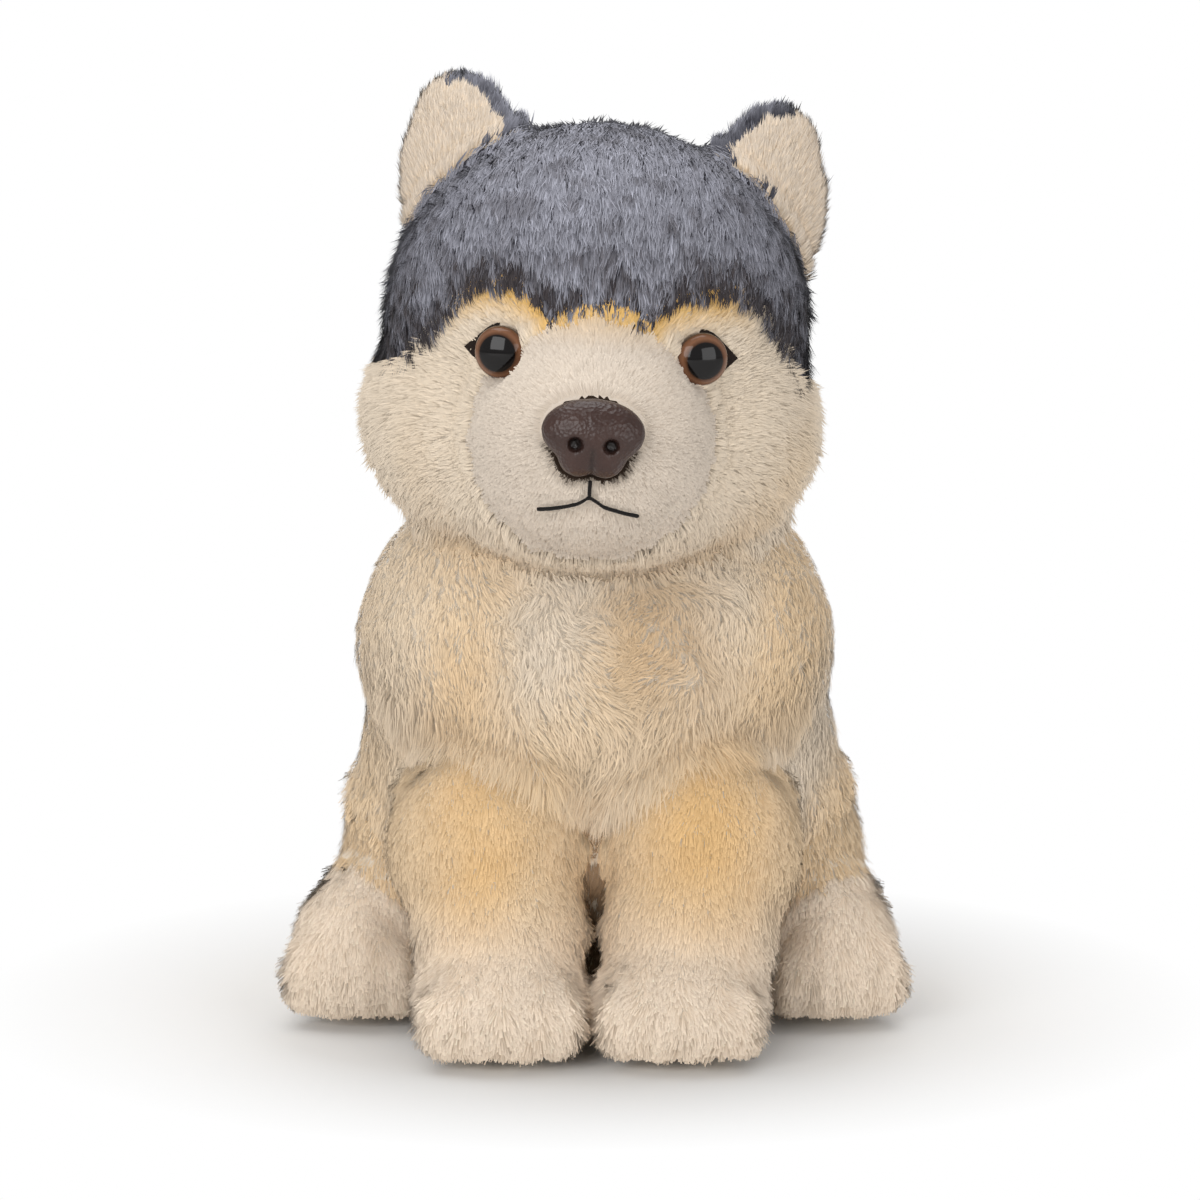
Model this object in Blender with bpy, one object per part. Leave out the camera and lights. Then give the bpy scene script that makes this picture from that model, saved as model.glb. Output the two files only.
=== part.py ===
"""Plush wolf pup, sitting, 23 cm tall: sewn plush covers over fibre filling, plastic eyes and nose with
their washers, felt eye corners, an embroidered mouth and pulled toe threads.

The pup faces -Y and +X is its own left. The origin is on the floor, under the middle of the seat.
Each stuffed section is a form: a few ellipsoid lumps melted into one skin. Its cover is the form less a
smaller inner form, and its filling is that inner form. Where two sections meet, one is cut back from the
other by the seam gap."""

import math

import bmesh
import bpy
from mathutils import Euler, Matrix, Vector
from mathutils.bvhtree import BVHTree

MM = 0.001

# Cloth and seams
CLOTH = 4.0 * MM
SEAM_GAP = 0.3 * MM
BIG = 400.0 * MM

# Torso: a pear, with the shoulders as wide as the belly
BELLY_HALF = Vector((59, 47, 60)) * MM
BELLY_SETTLE = 5 * MM
BELLY_BACK = 5 * MM
BELLY_ASIDE = 1 * MM
CHEST_HALF = Vector((44, 41, 37)) * MM
CHEST_HEIGHT = 82 * MM
CHEST_FORWARD = 15 * MM
SHOULDER_HALF = Vector((32.5, 39, 37)) * MM
SHOULDER_OUT = 26 * MM
SHOULDER_HEIGHT = 92 * MM
SHOULDER_FORWARD = 4 * MM
NECK_HALF = Vector((47, 39, 34)) * MM
NECK_DROP = 62 * MM
BACK_SEAM = 20 * MM

# Head: a ball with heavy cheeks, tilted to the pup's left
HEAD_CENTRE = Vector((0.3, -18, 165)) * MM
HEAD_ROLL = math.radians(3.8)
HEAD_YAW = math.radians(0.2)
SKULL_HALF = Vector((50, 47, 48)) * MM
SKULL_RAISE = 3 * MM
CHEEK_HALF = Vector((35, 40, 30)) * MM
CHEEK_OUT = 19 * MM
CHEEK_DROP = 19.5 * MM
JAW_HALF = Vector((37, 35, 22)) * MM
JAW_DROP = 31 * MM
JAW_FORWARD = 15 * MM

# Edge of the grey crown on the brow, as (distance from the middle, height over the head's centre)
BROW_LINE = ((0, 13), (12, 13), (18, 19), (24, 22), (30, 21), (36, 14), (40, 3), (43, -7))
NAPE_SEAM = 12 * MM

# Muzzle: a ball, with a bridge up between the eyes
MUZZLE_HALF = Vector((28, 27, 27)) * MM
MUZZLE_FORWARD = 41 * MM
MUZZLE_DROP = 18 * MM
BRIDGE_HALF = Vector((17, 19, 19)) * MM
BRIDGE_FORWARD = 36 * MM
BRIDGE_DROP = 5 * MM

# Ears: rounded leaves turned outwards, a plain front and a grey back sewn at the rim.
# They are sewn on by hand, so each has its own distance out and rise, as the eyes have.
EAR_HALF = Vector((17, 5.5, 22)) * MM
EAR_TIP_HALF = Vector((11, 4.5, 11)) * MM
EAR_PLACES = {1: (35.5 * MM, 29.7 * MM), -1: (-31.7 * MM, 32.3 * MM)}
EAR_BACK = 10 * MM
EAR_TIP_UP = 15 * MM
EAR_LEAN = math.radians(14)
EAR_TURN = math.radians(20)

# Forelegs: they come out from under the chest and lean together towards the paws
FORELEG_OUT = 25.5 * MM
SHOULDER_JOIN_HALF = Vector((23, 20, 18)) * MM
SHOULDER_JOIN_AT = Vector((0, -29, 53)) * MM
FOREARM_HALF = Vector((24.5, 21, 25)) * MM
FOREARM_AT = Vector((0, -38, 46)) * MM
WRIST_HALF = Vector((21.5, 19, 22)) * MM
WRIST_AT = Vector((-3, -47, 28)) * MM
PAW_HALF = Vector((20.7, 22, 16.5)) * MM
PAW_AT = Vector((-4.5, -57, 14)) * MM
PAW_ASIDE = -1 * MM

# Haunches and hind feet
HAUNCH_HALF = Vector((21, 34, 33)) * MM
HAUNCH_AT = Vector((43.5, 9, 34)) * MM
HAUNCH_ASIDE = 1.8 * MM
FOOT_HALF = Vector((17.8, 24, 19)) * MM
FOOT_AT = Vector((55, -10, 18)) * MM
FOOT_SPLAY = math.radians(10)

# Toes: four to a paw, with a pulled thread in each of the three creases
TOES = 4
TOE_HALF = Vector((5.9, 8.5, 11)) * MM
TOE_PITCH = 9.2 * MM
FOOT_TOE_PITCH = 7.8 * MM
TOE_ARC = 2.4 * MM
TOE_HEIGHT = 11.5 * MM
THREAD_RADIUS = 0.45 * MM
THREAD_POINTS = 7
TOE_THREAD_LOW = 9 * MM
TOE_THREAD_HIGH = 23 * MM

# Tail: lies on the floor behind the seat
TAIL_RADIUS = 15 * MM
TAIL_ASIDE = -4 * MM
TAIL_INTO_BACK = 15 * MM
TAIL_LIFT = 2 * MM
TAIL_BEND = 34 * MM
TAIL_SWEEP = math.radians(112)
TAIL_LUMPS = 6
TAIL_SETTLE = 4 * MM

# Plastic eyes
EYE_RADIUS = 6.2 * MM
EYE_DOME = 3.6 * MM
EYE_PLACES = {1: (24.2 * MM, 2.2 * MM), -1: (-22.3 * MM, 0.9 * MM)}
EYE_TURN = math.radians(17)
SHANK_RADIUS = 1.8 * MM
SHANK_LENGTH = 12 * MM
WASHER_RADIUS = 5.5 * MM
WASHER_THICKNESS = 1.2 * MM
WASHER_FIT = 0.15 * MM
LINER_THICKNESS = 0.8 * MM
LINER_MARGIN = 0.5 * MM
LINER_CORNER = 3.6 * MM
FELT_TANGENT = math.radians(48)
FELT_POINTS = 22
DOME_STEPS = 6

# Plastic nose
NOSE_HALF = Vector((12, 5.8, 7.6)) * MM
NOSE_LIP_HALF = Vector((4.6, 4.4, 4.6)) * MM
NOSE_LIP_OUT = 3.1 * MM
NOSE_LIP_DROP = 5.8 * MM
NOSTRIL_RADIUS = 2.0 * MM
NOSTRIL_OUT = 4.3 * MM
NOSTRIL_DROP = 3.6 * MM
NOSE_RAISE = 5.5 * MM
NOSE_SINK = 2.4 * MM

# Embroidered mouth, measured down and out from the nose's centre
MOUTH_TOP = 11 * MM
MOUTH_FORK = 15.8 * MM
MOUTH_END_GAP = 1.3 * MM
MOUTH_HALF = 11.3 * MM
MOUTH_SAG = 3.4 * MM

# Triangles that each form keeps
HEAD_FACES = 1000
TORSO_FACES = 900
MUZZLE_FACES = 420
FORELEG_FACES = 620
HAUNCH_FACES = 260
FOOT_FACES = 520
TAIL_FACES = 260
EAR_FACES = 220
NOSE_FACES = 380
NOSE_SEAT_FACES = 300
INNER_SHARE = 0.33

# Cell sizes that the forms are melted with, finer where a form is small
TRUNK_CELL = 3.5 * MM
TRUNK_CORE_CELL = 5 * MM
LIMB_CELL = 3 * MM
LIMB_CORE_CELL = 4 * MM
PAW_CELL = 2.2 * MM
EAR_CELL = 1.6 * MM
NOSE_CELL = 0.9 * MM

CREAM = (0.78, 0.66, 0.52)
PALE = (0.82, 0.73, 0.62)
GREY = (0.30, 0.30, 0.34)
WHITE = (0.85, 0.85, 0.83)
EYE_BROWN = (0.10, 0.045, 0.02)
NOSE_BROWN = (0.045, 0.02, 0.015)
FELT_DARK = (0.02, 0.012, 0.01)
THREAD_DARK = (0.02, 0.015, 0.012)
THREAD_BROWN = (0.25, 0.17, 0.10)


def material(name, colour, roughness):
    made = bpy.data.materials.new(name)
    made.use_nodes = True
    shader = made.node_tree.nodes["Principled BSDF"]
    shader.inputs["Base Color"].default_value = (*colour, 1)
    shader.inputs["Roughness"].default_value = roughness
    shader.inputs["Metallic"].default_value = 0.0
    return made


def new_object(name, mesh, finish=None):
    obj = bpy.data.objects.new(name, mesh)
    bpy.context.scene.collection.objects.link(obj)
    if finish:
        obj.data.materials.append(finish)
    return obj


def helper(obj):
    """Marks an object as a form or a cutter, which isn't part of the toy."""
    obj.hide_render = True
    obj.display_type = "WIRE"
    return obj


def settle(obj):
    """Turns an object's modifiers into plain mesh."""
    graph = bpy.context.evaluated_depsgraph_get()
    mesh = bpy.data.meshes.new_from_object(obj.evaluated_get(graph))
    finish = [slot.material for slot in obj.material_slots if slot.material]
    obj.modifiers.clear()
    obj.data = mesh
    mesh.materials.clear()
    for one in finish[:1]:
        mesh.materials.append(one)
    return obj


def copy_of(obj, name, finish=None):
    made = new_object(name, obj.data.copy())
    made.data.materials.clear()
    if finish:
        made.data.materials.append(finish)
    return made


def place(local, at, turn=(0, 0, 0)):
    return local @ Matrix.Translation(at) @ Euler(turn).to_matrix().to_4x4()


def form(name, lumps, frame, cell, smoothing, faces, inset=0.0, floor=True):
    """One closed skin over ellipsoid lumps of (centre, half sizes, turn), flat where it meets the floor."""
    bm = bmesh.new()
    for centre, half, turn in lumps:
        size = Matrix.Diagonal((*(side - inset for side in half), 1))
        bmesh.ops.create_uvsphere(
            bm, u_segments=32, v_segments=20, radius=1, matrix=place(frame, centre, turn) @ size
        )
    mesh = bpy.data.meshes.new(name)
    bm.to_mesh(mesh)
    bm.free()
    obj = helper(new_object(name, mesh))
    remesh = obj.modifiers.new("melt", "REMESH")
    remesh.mode = "VOXEL"
    remesh.voxel_size = cell
    smooth = obj.modifiers.new("smooth", "SMOOTH")
    smooth.factor = 0.5
    smooth.iterations = smoothing
    settle(obj)
    decimate = obj.modifiers.new("thin out", "DECIMATE")
    decimate.ratio = min(1.0, faces / (2 * len(obj.data.polygons)))
    decimate.use_collapse_triangulate = True
    settle(obj)
    if floor:
        press_flat(obj, inset)
    return obj


def press_flat(obj, height):
    """Lets the form settle on a level surface: all that is lower comes up to it."""
    for vertex in obj.data.vertices:
        vertex.co.z = max(vertex.co.z, height)


def grown(obj, gap=SEAM_GAP):
    """The same skin, moved out by a gap: what a neighbour is cut with."""
    made = helper(copy_of(obj, obj.name + ".grown"))
    push = made.modifiers.new("grow", "DISPLACE")
    push.direction = "NORMAL"
    push.mid_level = 0
    push.strength = gap
    return settle(made)


def boolean(obj, other, operation):
    step = obj.modifiers.new(operation.lower(), "BOOLEAN")
    step.operation = operation
    step.solver = "EXACT"
    step.object = other
    return settle(obj)


def carve(obj, *cutters):
    for cutter in cutters:
        boolean(obj, cutter, "DIFFERENCE")
    return obj


def block(name, low, high, frame=None):
    bm = bmesh.new()
    middle = (Vector(low) + Vector(high)) / 2
    size = Matrix.Diagonal((*(Vector(high) - Vector(low)), 1))
    start = frame or Matrix.Identity(4)
    bmesh.ops.create_cube(bm, size=1, matrix=start @ Matrix.Translation(middle) @ size)
    mesh = bpy.data.meshes.new(name)
    bm.to_mesh(mesh)
    bm.free()
    return helper(new_object(name, mesh))


def turned(name, profile, frame, steps=24):
    """A solid of revolution about the frame's Z axis, from (radius, height) points."""
    bm = bmesh.new()
    rings = []
    for radius, height in profile:
        ring = []
        for i in range(steps if radius > 0 else 1):
            angle = 2 * math.pi * i / steps
            ring.append(bm.verts.new((radius * math.cos(angle), radius * math.sin(angle), height)))
        rings.append(ring)
    for lower, upper in zip(rings, rings[1:]):
        for i in range(steps):
            corners = [lower[i % len(lower)], lower[(i + 1) % len(lower)]]
            corners += [upper[(i + 1) % len(upper)], upper[i % len(upper)]]
            bm.faces.new(list(dict.fromkeys(corners)))
    bmesh.ops.recalc_face_normals(bm, faces=bm.faces)
    bmesh.ops.transform(bm, matrix=frame, verts=bm.verts)
    mesh = bpy.data.meshes.new(name)
    bm.to_mesh(mesh)
    bm.free()
    return new_object(name, mesh)


def solid_prism(name, outline, low, high, frame):
    """An outline of (x, z) points pushed along the frame's Y axis from low to high."""
    bm = bmesh.new()
    near = [bm.verts.new((x, low, z)) for x, z in outline]
    far = [bm.verts.new((x, high, z)) for x, z in outline]
    bm.faces.new(near)
    bm.faces.new(far[::-1])
    count = len(outline)
    for i in range(count):
        after = (i + 1) % count
        bm.faces.new((near[after], near[i], far[i], far[after]))
    bmesh.ops.recalc_face_normals(bm, faces=bm.faces)
    bmesh.ops.transform(bm, matrix=frame, verts=bm.verts)
    mesh = bpy.data.meshes.new(name)
    bm.to_mesh(mesh)
    bm.free()
    return new_object(name, mesh)


def surface(*objs):
    """A ray-casting tree over some finished covers, in world space."""
    points, faces = [], []
    for obj in objs:
        start = len(points)
        points += [obj.matrix_world @ vertex.co for vertex in obj.data.vertices]
        faces += [[start + i for i in polygon.vertices] for polygon in obj.data.polygons]
    return BVHTree.FromPolygons(points, faces)


def stuffed(name, outer, inner, finishes, *neighbours):
    """The sewn cover and the filling of one section, both cut back from its neighbours."""
    cover = copy_of(outer, name + "_cover", finishes["cloth"])
    carve(cover, grown(inner), *neighbours)
    filling = copy_of(inner, name + "_filling", finishes["fibre"])
    carve(filling, *neighbours)
    return cover, filling


def sided(point, side):
    return Vector((point.x * side, point.y, point.z))


def head_frame():
    return Matrix.Translation(HEAD_CENTRE) @ Euler((0, HEAD_ROLL, HEAD_YAW)).to_matrix().to_4x4()


def torso_lumps():
    belly_at = Vector((BELLY_ASIDE, BELLY_BACK, BELLY_HALF.z - BELLY_SETTLE))
    lumps = [
        (belly_at, BELLY_HALF, (0, 0, 0)),
        (Vector((0, -CHEST_FORWARD, CHEST_HEIGHT)), CHEST_HALF, (0, 0, 0)),
        (Vector((0, 0, HEAD_CENTRE.z - NECK_DROP)), NECK_HALF, (0, 0, 0)),
    ]
    for side in (-1, 1):
        at = Vector((side * SHOULDER_OUT, -SHOULDER_FORWARD, SHOULDER_HEIGHT))
        lumps.append((at, SHOULDER_HALF, (0, 0, 0)))
    return lumps


def head_lumps():
    lumps = [
        (Vector((0, 0, SKULL_RAISE)), SKULL_HALF, (0, 0, 0)),
        (Vector((0, -JAW_FORWARD, -JAW_DROP)), JAW_HALF, (0, 0, 0)),
    ]
    for side in (-1, 1):
        lumps.append((Vector((side * CHEEK_OUT, 0, -CHEEK_DROP)), CHEEK_HALF, (0, 0, 0)))
    return lumps


def muzzle_lumps():
    return [
        (Vector((0, -MUZZLE_FORWARD, -MUZZLE_DROP)), MUZZLE_HALF, (0, 0, 0)),
        (Vector((0, -BRIDGE_FORWARD, -BRIDGE_DROP)), BRIDGE_HALF, (0, 0, 0)),
    ]


def toe_lumps(paw_at, paw_half, pitch, turn):
    """Toes side by side at the front of a paw, the middle ones furthest forward."""
    lumps = []
    swing = Euler((0, 0, turn)).to_matrix()
    for i in range(TOES):
        across = i - (TOES - 1) / 2
        reach = paw_half.y - TOE_HALF.y * 0.55 - TOE_ARC * abs(across)
        offset = swing @ Vector((across * pitch, -reach, 0))
        at = Vector((paw_at.x + offset.x, paw_at.y + offset.y, TOE_HEIGHT))
        lumps.append((at, TOE_HALF, (0, 0, turn)))
    return lumps


def foreleg_lumps(side):
    base = Vector((side * FORELEG_OUT, 0, 0))
    paw_at = base + sided(PAW_AT, side) + Vector((PAW_ASIDE, 0, 0))
    lumps = [
        (base + sided(SHOULDER_JOIN_AT, side), SHOULDER_JOIN_HALF, (0, 0, 0)),
        (base + sided(FOREARM_AT, side), FOREARM_HALF, (0, 0, 0)),
        (base + sided(WRIST_AT, side), WRIST_HALF, (0, 0, 0)),
        (paw_at, PAW_HALF, (0, 0, 0)),
    ]
    return lumps, toe_lumps(paw_at, PAW_HALF, TOE_PITCH, 0), paw_at


def foot_lumps(side):
    foot_at = sided(FOOT_AT, side)
    turn = side * FOOT_SPLAY
    toes = toe_lumps(foot_at, FOOT_HALF, FOOT_TOE_PITCH, turn)
    return [(foot_at, FOOT_HALF, (0, 0, turn))], toes, foot_at


def tail_lumps():
    """An arc of lumps on the floor, fullest in the middle, from inside the back of the belly."""
    start = Vector((TAIL_ASIDE, BELLY_BACK + BELLY_HALF.y - TAIL_INTO_BACK, TAIL_RADIUS + TAIL_LIFT))
    lumps = []
    for i in range(TAIL_LUMPS):
        share = i / (TAIL_LUMPS - 1)
        angle = share * TAIL_SWEEP
        swell = TAIL_RADIUS * (0.75 + 0.35 * math.sin(math.pi * share))
        drop = -TAIL_SETTLE * min(1.0, share * 2)
        at = start + Vector((TAIL_BEND * (1 - math.cos(angle)), TAIL_BEND * math.sin(angle), drop))
        lumps.append((at, Vector((swell, swell, TAIL_RADIUS)), (0, 0, 0)))
    return lumps


def crown_block(gap):
    """What the crown panel takes of the head: all above the brow line, and the back of the head."""
    half = [(out * MM, height * MM - gap) for out, height in BROW_LINE]
    outline = [(-out, height) for out, height in half[:0:-1]] + half
    lowest = outline[-1][1]
    outline += [(BIG, lowest), (BIG, BIG), (-BIG, BIG), (-BIG, lowest)]
    made = helper(solid_prism("crown_block", outline, -BIG, BIG, head_frame()))
    behind = block("nape_block", (-BIG * 2, NAPE_SEAM - gap, -BIG * 2), (BIG * 2, BIG * 2, BIG), head_frame())
    return boolean(made, behind, "UNION")


def make_head(finishes):
    frame = head_frame()
    outer = form("head_form", head_lumps(), frame, TRUNK_CELL, 4, HEAD_FACES, floor=False)
    core_faces = HEAD_FACES * INNER_SHARE
    inner = form("head_core", head_lumps(), frame, TRUNK_CORE_CELL, 3, core_faces, CLOTH, False)
    shell = copy_of(outer, "head_shell", finishes["cream"])
    carve(helper(shell), grown(inner))
    face = carve(copy_of(shell, "face_cover", finishes["cream"]), crown_block(SEAM_GAP))
    crown = boolean(copy_of(shell, "crown_cover", finishes["grey"]), crown_block(0), "INTERSECT")
    filling = copy_of(inner, "head_filling", finishes["fibre"])
    return outer, face, crown, filling


def make_muzzle(finishes, head):
    frame = head_frame()
    outer = form("muzzle_form", muzzle_lumps(), frame, LIMB_CELL, 2, MUZZLE_FACES, floor=False)
    core_faces = MUZZLE_FACES * INNER_SHARE
    inner = form("muzzle_core", muzzle_lumps(), frame, LIMB_CORE_CELL, 2, core_faces, CLOTH, False)
    kinds = {"cloth": finishes["pale"], "fibre": finishes["fibre"]}
    return (outer, *stuffed("muzzle", outer, inner, kinds, grown(head)))


def make_ear(finishes, side, head):
    name = "ear_left" if side > 0 else "ear_right"
    out, rise = EAR_PLACES[side]
    frame = place(head_frame(), Vector((out, EAR_BACK, rise)), (0, side * EAR_LEAN, side * EAR_TURN))
    tip = Vector((0, 0, EAR_TIP_UP))
    lumps = [(Vector((0, 0, 0)), EAR_HALF, (0, 0, 0)), (tip, EAR_TIP_HALF, (0, 0, 0))]
    leaf = form(name + "_form", lumps, frame, EAR_CELL, 3, EAR_FACES, floor=False)
    carve(leaf, grown(head))
    for part, finish, low, high in (
        ("_front", finishes["pale"], -BIG, -SEAM_GAP / 2),
        ("_back", finishes["grey"], SEAM_GAP / 2, BIG),
    ):
        half = block(name + part + "_half", (-BIG, low, -BIG), (BIG, high, BIG), frame)
        boolean(copy_of(leaf, name + part, finish), half, "INTERSECT")


def make_torso(finishes, head):
    still = Matrix.Identity(4)
    outer = form("torso_form", torso_lumps(), still, TRUNK_CELL, 4, TORSO_FACES)
    core_faces = TORSO_FACES * INNER_SHARE
    inner = form("torso_core", torso_lumps(), still, TRUNK_CORE_CELL, 3, core_faces, CLOTH)
    cutters = [grown(inner), grown(head)]
    for name, finish, low, high in (
        ("chest_cover", finishes["cream"], -BIG, BACK_SEAM - SEAM_GAP / 2),
        ("back_cover", finishes["grey"], BACK_SEAM + SEAM_GAP / 2, BIG),
    ):
        half = block(name + "_half", (-BIG, low, -BIG), (BIG, high, BIG))
        boolean(carve(copy_of(outer, name, finish), *cutters), half, "INTERSECT")
    carve(copy_of(inner, "torso_filling", finishes["fibre"]), cutters[1])
    return outer


def make_paw(name, lumps, toes, faces, kinds, *neighbours):
    """A limb that ends in toes. The filling doesn't follow the toes."""
    still = Matrix.Identity(4)
    outer = form(name + "_form", lumps + toes, still, PAW_CELL, 2, faces)
    inner = form(name + "_core", lumps, still, LIMB_CORE_CELL, 2, faces * INNER_SHARE, CLOTH)
    return (outer, *stuffed(name, outer, inner, kinds, *neighbours))


def lay_thread(name, path, finish):
    """A thread of round section through points that are already clear of the cloth."""
    curve = bpy.data.curves.new(name, "CURVE")
    curve.dimensions = "3D"
    curve.bevel_depth = THREAD_RADIUS
    curve.bevel_resolution = 1
    curve.use_fill_caps = True
    spline = curve.splines.new("POLY")
    spline.points.add(len(path) - 1)
    for point, at in zip(spline.points, path):
        point.co = (*at, 1)
    return new_object(name, curve, finish)


def on_cloth(tree, start, direction):
    """Where a thread's middle lies when it rests on the cloth that this ray meets."""
    at, normal, _, _ = tree.ray_cast(start, direction)
    return at + normal * (THREAD_RADIUS + SEAM_GAP)


def toe_threads(name, cover, paw_at, paw_half, pitch, turn, finish):
    """A thread up each crease between two toes, drawn on the paw from in front."""
    tree = surface(cover)
    swing = Euler((0, 0, turn)).to_matrix()
    for i in range(TOES - 1):
        across = (i - (TOES - 2) / 2) * pitch
        path = []
        for k in range(THREAD_POINTS):
            height = TOE_THREAD_LOW + (TOE_THREAD_HIGH - TOE_THREAD_LOW) * k / (THREAD_POINTS - 1)
            start = paw_at + swing @ Vector((across, -2 * paw_half.y, 0))
            start.z = height
            path.append(on_cloth(tree, start, swing @ Vector((0, 1, 0))))
        lay_thread(f"{name}_toe_thread_{i + 1}", path, finish)


def eye_frame(head_surface, side):
    """Z points out of the eye and X out to its outer corner. The origin is on the cloth."""
    frame = head_frame()
    aim = frame.to_3x3() @ Vector((math.sin(EYE_TURN) * side, -math.cos(EYE_TURN), 0)).normalized()
    out, rise = EYE_PLACES[side]
    start = frame @ Vector((out, -BIG, rise))
    at, _, _, _ = head_surface.ray_cast(start, frame.to_3x3() @ Vector((0, 1, 0)))
    across = frame.to_3x3() @ Vector((math.cos(EYE_TURN) * side, math.sin(EYE_TURN), 0))
    up = aim.cross(across)
    basis = Matrix((across, up, aim)).transposed().to_4x4()
    return Matrix.Translation(at) @ basis


def eye_profile():
    """A domed button on a straight shank."""
    points = [(0, -SHANK_LENGTH), (SHANK_RADIUS, -SHANK_LENGTH), (SHANK_RADIUS, 0)]
    for i in range(DOME_STEPS):
        angle = math.pi / 2 * i / DOME_STEPS
        points.append((EYE_RADIUS * math.cos(angle), EYE_DOME * math.sin(angle)))
    return points + [(0, EYE_DOME)]


def washer(name, frame, finish):
    """A disc pushed up the shank until it holds the filling against the cloth."""
    inside = SHANK_RADIUS + WASHER_FIT
    near = -SHANK_LENGTH + 2 * MM
    far = near + WASHER_THICKNESS
    profile = [(inside, near), (WASHER_RADIUS, near), (WASHER_RADIUS, far), (inside, far), (inside, near)]
    made = turned(name, profile, frame, 20)
    bm = bmesh.new()
    bm.from_mesh(made.data)
    bmesh.ops.remove_doubles(bm, verts=bm.verts, dist=1e-6)
    bmesh.ops.recalc_face_normals(bm, faces=bm.faces)
    bm.to_mesh(made.data)
    bm.free()
    made.data.materials.append(finish)
    return made


def washer_room(name, frame):
    """The space that a shank and its washer take in the filling and the cloth."""
    wide = WASHER_RADIUS + SEAM_GAP
    low = -SHANK_LENGTH - SEAM_GAP
    high = -SHANK_LENGTH + 2 * MM + WASHER_THICKNESS + SEAM_GAP
    thin = SHANK_RADIUS + SEAM_GAP
    profile = [(0, low), (wide, low), (wide, high), (thin, high), (thin, 2 * MM), (0, 2 * MM)]
    return helper(turned(name, profile, frame, 20))


def felt_outline(grow):
    """The felt's round outline with one pointed corner on the outer side of the eye."""
    radius = EYE_RADIUS + LINER_MARGIN + grow
    points = [(EYE_RADIUS + LINER_CORNER + 2 * grow, 0)]
    for i in range(FELT_POINTS):
        angle = FELT_TANGENT + (2 * math.pi - 2 * FELT_TANGENT) * i / (FELT_POINTS - 1)
        points.append((radius * math.cos(angle), radius * math.sin(angle)))
    return points


def felt_prism(name, frame, grow, low, high):
    onto = frame @ Matrix.Rotation(math.pi / 2, 4, "X")
    return solid_prism(name, felt_outline(grow), low, high, onto)


def eye_seat(name, frame):
    """The hollow that the dome and its felt corner press into the pile."""
    return helper(felt_prism(name, frame, SEAM_GAP, -LINER_THICKNESS - SEAM_GAP, BIG / 8))


def make_eye(finishes, side, head, head_surface):
    name = "eye_left" if side > 0 else "eye_right"
    frame = eye_frame(head_surface, side)
    eye = turned(name, eye_profile(), frame)
    eye.data.materials.append(finishes["eye"])
    liner = felt_prism(name + "_felt", frame, 0, -LINER_THICKNESS, -SEAM_GAP)
    liner.data.materials.append(finishes["felt"])
    wide = SHANK_RADIUS + SEAM_GAP
    hole = [(0, -SHANK_LENGTH), (wide, -SHANK_LENGTH), (wide, EYE_DOME), (0, EYE_DOME)]
    carve(liner, helper(turned(name + "_hole", hole, frame)))
    washer(name + "_washer", frame, finishes["white"])
    return eye_seat(name + "_seat", frame), washer_room(name + "_room", frame)


def nose_frame(muzzle_surface):
    """Z points out of the nose and Y up it. The origin is on the cloth."""
    frame = head_frame()
    start = frame @ Vector((0, -BIG, NOSE_RAISE - MUZZLE_DROP))
    at, normal, _, _ = muzzle_surface.ray_cast(start, frame.to_3x3() @ Vector((0, 1, 0)))
    aim = normal.normalized()
    across = frame.to_3x3() @ Vector((1, 0, 0))
    across = (across - aim * across.dot(aim)).normalized()
    basis = Matrix((across, aim.cross(across), aim)).transposed().to_4x4()
    return Matrix.Translation(at) @ basis


def nose_form(name, frame, grow, faces):
    lumps = [(Vector((0, 0, NOSE_SINK)), Vector((NOSE_HALF.x, NOSE_HALF.z, NOSE_HALF.y)), (0, 0, 0))]
    for side in (-1, 1):
        at = Vector((side * NOSE_LIP_OUT, -NOSE_LIP_DROP, NOSE_SINK - 1 * MM))
        lumps.append((at, Vector((NOSE_LIP_HALF.x, NOSE_LIP_HALF.z, NOSE_LIP_HALF.y)), (0, 0, 0)))
    return form(name, lumps, frame, NOSE_CELL, 2, faces, -grow, False)


def make_nose(finishes, muzzle_surface):
    frame = nose_frame(muzzle_surface)
    nose = copy_of(nose_form("nose_form", frame, 0, NOSE_FACES), "nose", finishes["nose"])
    for side in (-1, 1):
        at = Vector((side * NOSTRIL_OUT, -NOSTRIL_DROP, NOSE_SINK + NOSE_HALF.y))
        bm = bmesh.new()
        bmesh.ops.create_uvsphere(
            bm, u_segments=12, v_segments=8, radius=NOSTRIL_RADIUS, matrix=frame @ Matrix.Translation(at)
        )
        mesh = bpy.data.meshes.new("nostril")
        bm.to_mesh(mesh)
        bm.free()
        carve(nose, helper(new_object(f"nostril_{side}", mesh)))
    stem = [(0, -SHANK_LENGTH), (SHANK_RADIUS, -SHANK_LENGTH), (SHANK_RADIUS, NOSE_SINK), (0, NOSE_SINK)]
    boolean(nose, helper(turned("nose_stem", stem, frame)), "UNION")
    washer("nose_washer", frame, finishes["white"])
    return nose_form("nose_seat", frame, SEAM_GAP, NOSE_SEAT_FACES), washer_room("nose_room", frame)


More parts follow.
